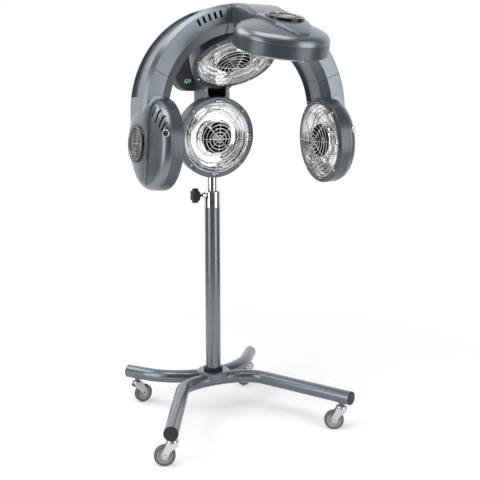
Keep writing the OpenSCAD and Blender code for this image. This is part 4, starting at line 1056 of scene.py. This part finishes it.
# %% [markdown]
# ## Display
#
# Near the lower left corner of the control housing a small green screen sits in a pale frame,
# with a round bright button under it. The screen is lit from behind, so its finish adds a
# little light of its own.

# %% Screen and frame
screen, screen_tree, screen_shader = new_finish("lit_screen", Roughness=0.12, Emission_Strength=0.12)
glow_spot = speckle(screen_tree, 170.0)
tint(screen_tree, screen_shader, glow_spot, (0.004, 0.05, 0.03), (0.05, 0.55, 0.30))
screen_shader.inputs["Emission Color"].default_value = (0.05, 0.50, 0.28, 1.0)
frame_paint = finish("frame_paint", (0.55, 0.55, 0.54), (0.65, 0.65, 0.63), gloss=(0.3, 0.4),
                     scale=700.0, depth=0.00003)
low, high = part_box("display")
INSET_X, INSET_Z = 0.0045, 0.0028
GLASS_DEPTH, BAR_STANDS, BAR_RADIUS = 0.0008, 0.0004, 0.0011
LEAN = 0.0030
pane = [(low.x + INSET_X - LEAN, low.z + INSET_Z), (high.x - INSET_X - LEAN, low.z + INSET_Z),
        (high.x - INSET_X, high.z - INSET_Z), (low.x + INSET_X, high.z - INSET_Z)]
parts = [mesh_piece("glass", *slab(pane, -low.y, -low.y + GLASS_DEPTH), screen, UPRIGHT, smooth=False)]
for edge in zip(pane, pane[1:] + pane[:1]):
    ends = [(x, low.y - BAR_STANDS, z) for x, z in edge]
    parts.append(mesh_piece("bar", *rod(*ends, BAR_RADIUS, steps=12), frame_paint))
screen_frame = joined("screen_frame", parts)
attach(screen_frame, "crown")
print("screen", [round(pane[1][0] - pane[0][0], 3), round(pane[2][1] - pane[1][1], 3)])

# %% [markdown]
# ## Ribs on the control housing
#
# The lower left of the housing has a fan of shallow moulded ribs that point at the crown head.
# They repeat round a circle, so the ring tree makes them from one thin rod with round ends.

# %% A fan of ribs
RIB_LENGTH = 0.024
RIB_RADIUS = 0.0016
RIB_SINK = 0.0008
RIB_FAN = {"Count": 9, "Radius": 0.064, "Turn": radians(158), "Sweep": radians(64)}
FAN_INSET, FAN_RISE = 0.079, 0.091
rib_ends = [(side * RIB_LENGTH / 2, 0, 0) for side in (-1, 1)]
rib = mesh_piece("rib_shape", *rod(*rib_ends, RIB_RADIUS, steps=10), housing_plastic)
rib_tree = ring_tree("ring_of_ribs", housing_plastic)
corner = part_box("control_housing")[0]
fan_middle = Matrix.Translation((corner.x + FAN_INSET, low.y + RIB_SINK, corner.z + FAN_RISE)) @ UPRIGHT
ribs = ring_of("housing_ribs", rib_tree, rib, fan_middle, **RIB_FAN)
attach(ribs, "crown")
print("ribs:", len(ribs.data.vertices), "points")

# %% [markdown]
# ## Studio
#
# The photograph has a white background and soft light, with long soft boxes on both sides that
# draw bright bands on the tubes. The world is white where the picture shows it. Reflections
# and glass see a tent that is white behind the object and dim in front, as a studio is round
# a white backdrop. What lights the object is a dimmer, even level, plus four soft boxes.

# %% World
world = bpy.data.worlds.new("studio")
bpy.context.scene.world = world
world.use_nodes = True
sky = world.node_tree
sky.nodes.clear()
rays = add(sky, "ShaderNodeLightPath")
STUDIO_FRONT = (-sin(CAMERA_BEARING), -cos(CAMERA_BEARING), 0.0)
WHITE = (1.0, 1.0, 1.0, 1.0)


def mirror_rays(tree, rays):
    return calc(tree, "MAXIMUM", rays.outputs["Is Glossy Ray"], rays.outputs["Is Transmission Ray"])


def toward_front(tree, place):
    share = add(tree, "ShaderNodeVectorMath", {"operation": "DOT_PRODUCT"})
    feed(tree, share.inputs[0], place)
    share.inputs[1].default_value = STUDIO_FRONT
    return share.outputs["Value"]


front = toward_front(sky, add(sky, "ShaderNodeTexCoord").outputs["Generated"])
tent = add(sky, "ShaderNodeValToRGB", Fac=calc(sky, "MULTIPLY", calc(sky, "ADD", front, 1.0), 0.5))
TENT_STOPS = [(0.0, (1.0, 1.0, 1.0)), (0.20, (1.0, 1.0, 1.0)), (0.30, (0.55, 0.54, 0.52)),
              (0.42, (0.20, 0.19, 0.17)), (0.88, (0.10, 0.09, 0.075)), (0.97, (0.035, 0.03, 0.025)),
              (1.0, (0.015, 0.013, 0.01))]
ramp = tent.color_ramp
while len(ramp.elements) < len(TENT_STOPS):
    ramp.elements.new(0.5)
for stop, (place, level) in zip(ramp.elements, TENT_STOPS):
    stop.position = place
    stop.color = (*level, 1.0)
AMBIENT = 0.42
lit = add(sky, "ShaderNodeBackground", Color=WHITE, Strength=AMBIENT)
mirrored = add(sky, "ShaderNodeBackground", Color=tent.outputs["Color"], Strength=1.0)
shown = add(sky, "ShaderNodeBackground", Color=WHITE, Strength=1.0)


def blend(tree, share, first, second):
    mixed = add(tree, "ShaderNodeMixShader", Fac=share)
    tree.links.new(first.outputs[0], mixed.inputs[1])
    tree.links.new(second.outputs[0], mixed.inputs[2])
    return mixed


unseen = blend(sky, mirror_rays(sky, rays), lit, mirrored)
final = blend(sky, rays.outputs["Is Camera Ray"], unseen, shown)
sky.links.new(final.outputs[0], add(sky, "ShaderNodeOutputWorld").inputs["Surface"])
print("tent with", len(TENT_STOPS), "levels")

# %% Soft boxes
BOX_AIM = (0, 0, 0.75)


def soft_box(name, bearing, distance, height, width, tall, power, colour):
    light = bpy.data.lights.new(name, "AREA")
    light.shape = "RECTANGLE"
    light.size = width
    light.size_y = tall
    light.energy = power
    light.color = colour
    holder = bpy.data.objects.new(name, light)
    bpy.context.scene.collection.objects.link(holder)
    heading = CAMERA_BEARING + radians(bearing)
    holder.location = (-distance * sin(heading), -distance * cos(heading), height)
    aim = Vector(BOX_AIM) - holder.location
    holder.rotation_euler = aim.to_track_quat("-Z", "Y").to_euler()


soft_box("left_box", bearing=50, distance=2.1, height=0.95, width=1.0, tall=1.9, power=16.0,
         colour=(0.93, 0.97, 1.0))
soft_box("right_box", bearing=-50, distance=2.1, height=0.95, width=1.1, tall=1.9, power=18.0,
         colour=(0.95, 0.97, 1.0))
soft_box("high_left_box", bearing=100, distance=1.9, height=2.5, width=1.8, tall=1.2, power=20.0,
         colour=(0.96, 0.98, 1.0))
soft_box("top_box", bearing=10, distance=0.9, height=3.0, width=2.0, tall=1.4, power=30.0,
         colour=(1.0, 1.0, 1.0))
print("studio lit")

# %% [markdown]
# ## Floor
#
# The floor keeps the object's soft shadow, yet has to melt into the white behind. Near the
# object it is a white matte surface with just enough of its own light to read as white where
# nothing shades it. Further out it turns into plain white, so no horizon shows. Reflections
# see the white paper behind the object, and the dim studio floor where the paper ends, in
# front. All distances are from the column, in metres.

# %% A white floor that keeps the shadow
FLOOR_HALF = 14.0
PAPER_GLOW = 0.34
DIM_FLOOR = 0.10
PURE_WHITE = (0.5, 1.5)
BEHIND = (-2.4, -0.4)
PAPER_END = (1.5, 2.4)
SHADED_FOOT = (0.35, 0.7)
FOOT_SHADE_LEVEL = 0.2
floor_finish = bpy.data.materials.new("studio_floor")
floor_finish.use_nodes = True
paper = floor_finish.node_tree
paper.nodes.clear()
spot = add(paper, "ShaderNodeTexCoord").outputs["Object"]
away = add(paper, "ShaderNodeVectorMath", {"operation": "LENGTH"})
feed(paper, away.inputs[0], spot)
distance = away.outputs["Value"]
far = ranged(paper, distance, *PURE_WHITE, curve="SMOOTHSTEP")
view_rays = add(paper, "ShaderNodeLightPath")
seen = calc(paper, "MAXIMUM", view_rays.outputs["Is Camera Ray"], mirror_rays(paper, view_rays))
matte = add(paper, "ShaderNodeBsdfDiffuse", Color=(0.80, 0.80, 0.80, 1.0))
behind = ranged(paper, toward_front(paper, spot), *BEHIND, 1.0, DIM_FLOOR, "SMOOTHSTEP")
near = ranged(paper, distance, *PAPER_END, 1.0, 0.0, "SMOOTHSTEP")
# Round the stand's foot the floor's own light, as reflections see it, is turned down: painted shade for the
# object's shadow there.
open_paper = ranged(paper, distance, *SHADED_FOOT, FOOT_SHADE_LEVEL, 1.0, "SMOOTHSTEP")
level = calc(paper, "MAXIMUM", behind, calc(paper, "MULTIPLY", near, open_paper))
level = calc(paper, "MAXIMUM", level, view_rays.outputs["Is Camera Ray"])
glow = calc(paper, "MULTIPLY", calc(paper, "MULTIPLY", seen, PAPER_GLOW), level)
lift = add(paper, "ShaderNodeEmission", Color=WHITE, Strength=glow)
both = add(paper, "ShaderNodeAddShader")
paper.links.new(matte.outputs[0], both.inputs[0])
paper.links.new(lift.outputs[0], both.inputs[1])
white = add(paper, "ShaderNodeEmission", Color=WHITE, Strength=level)
laid = blend(paper, calc(paper, "MULTIPLY", far, seen), both, white)
paper.links.new(laid.outputs[0], add(paper, "ShaderNodeOutputMaterial").inputs["Surface"])
sheet = [(x, y, 0) for x, y in rectangle(-FLOOR_HALF, -FLOOR_HALF, FLOOR_HALF, FLOOR_HALF)]
floor = mesh_piece("studio_floor", sheet, [[0, 1, 2, 3]], floor_finish, smooth=False)
print("floor laid")

# %% [markdown]
# ## Look and finish
#
# The Standard view shows colours as they are written. The template shapes go.

# %% Clean up and finish
bpy.context.scene.view_settings.view_transform = "Standard"
for shape in (screw, blade, notch, long_slot, clip, rib):
    bpy.data.objects.remove(shape)
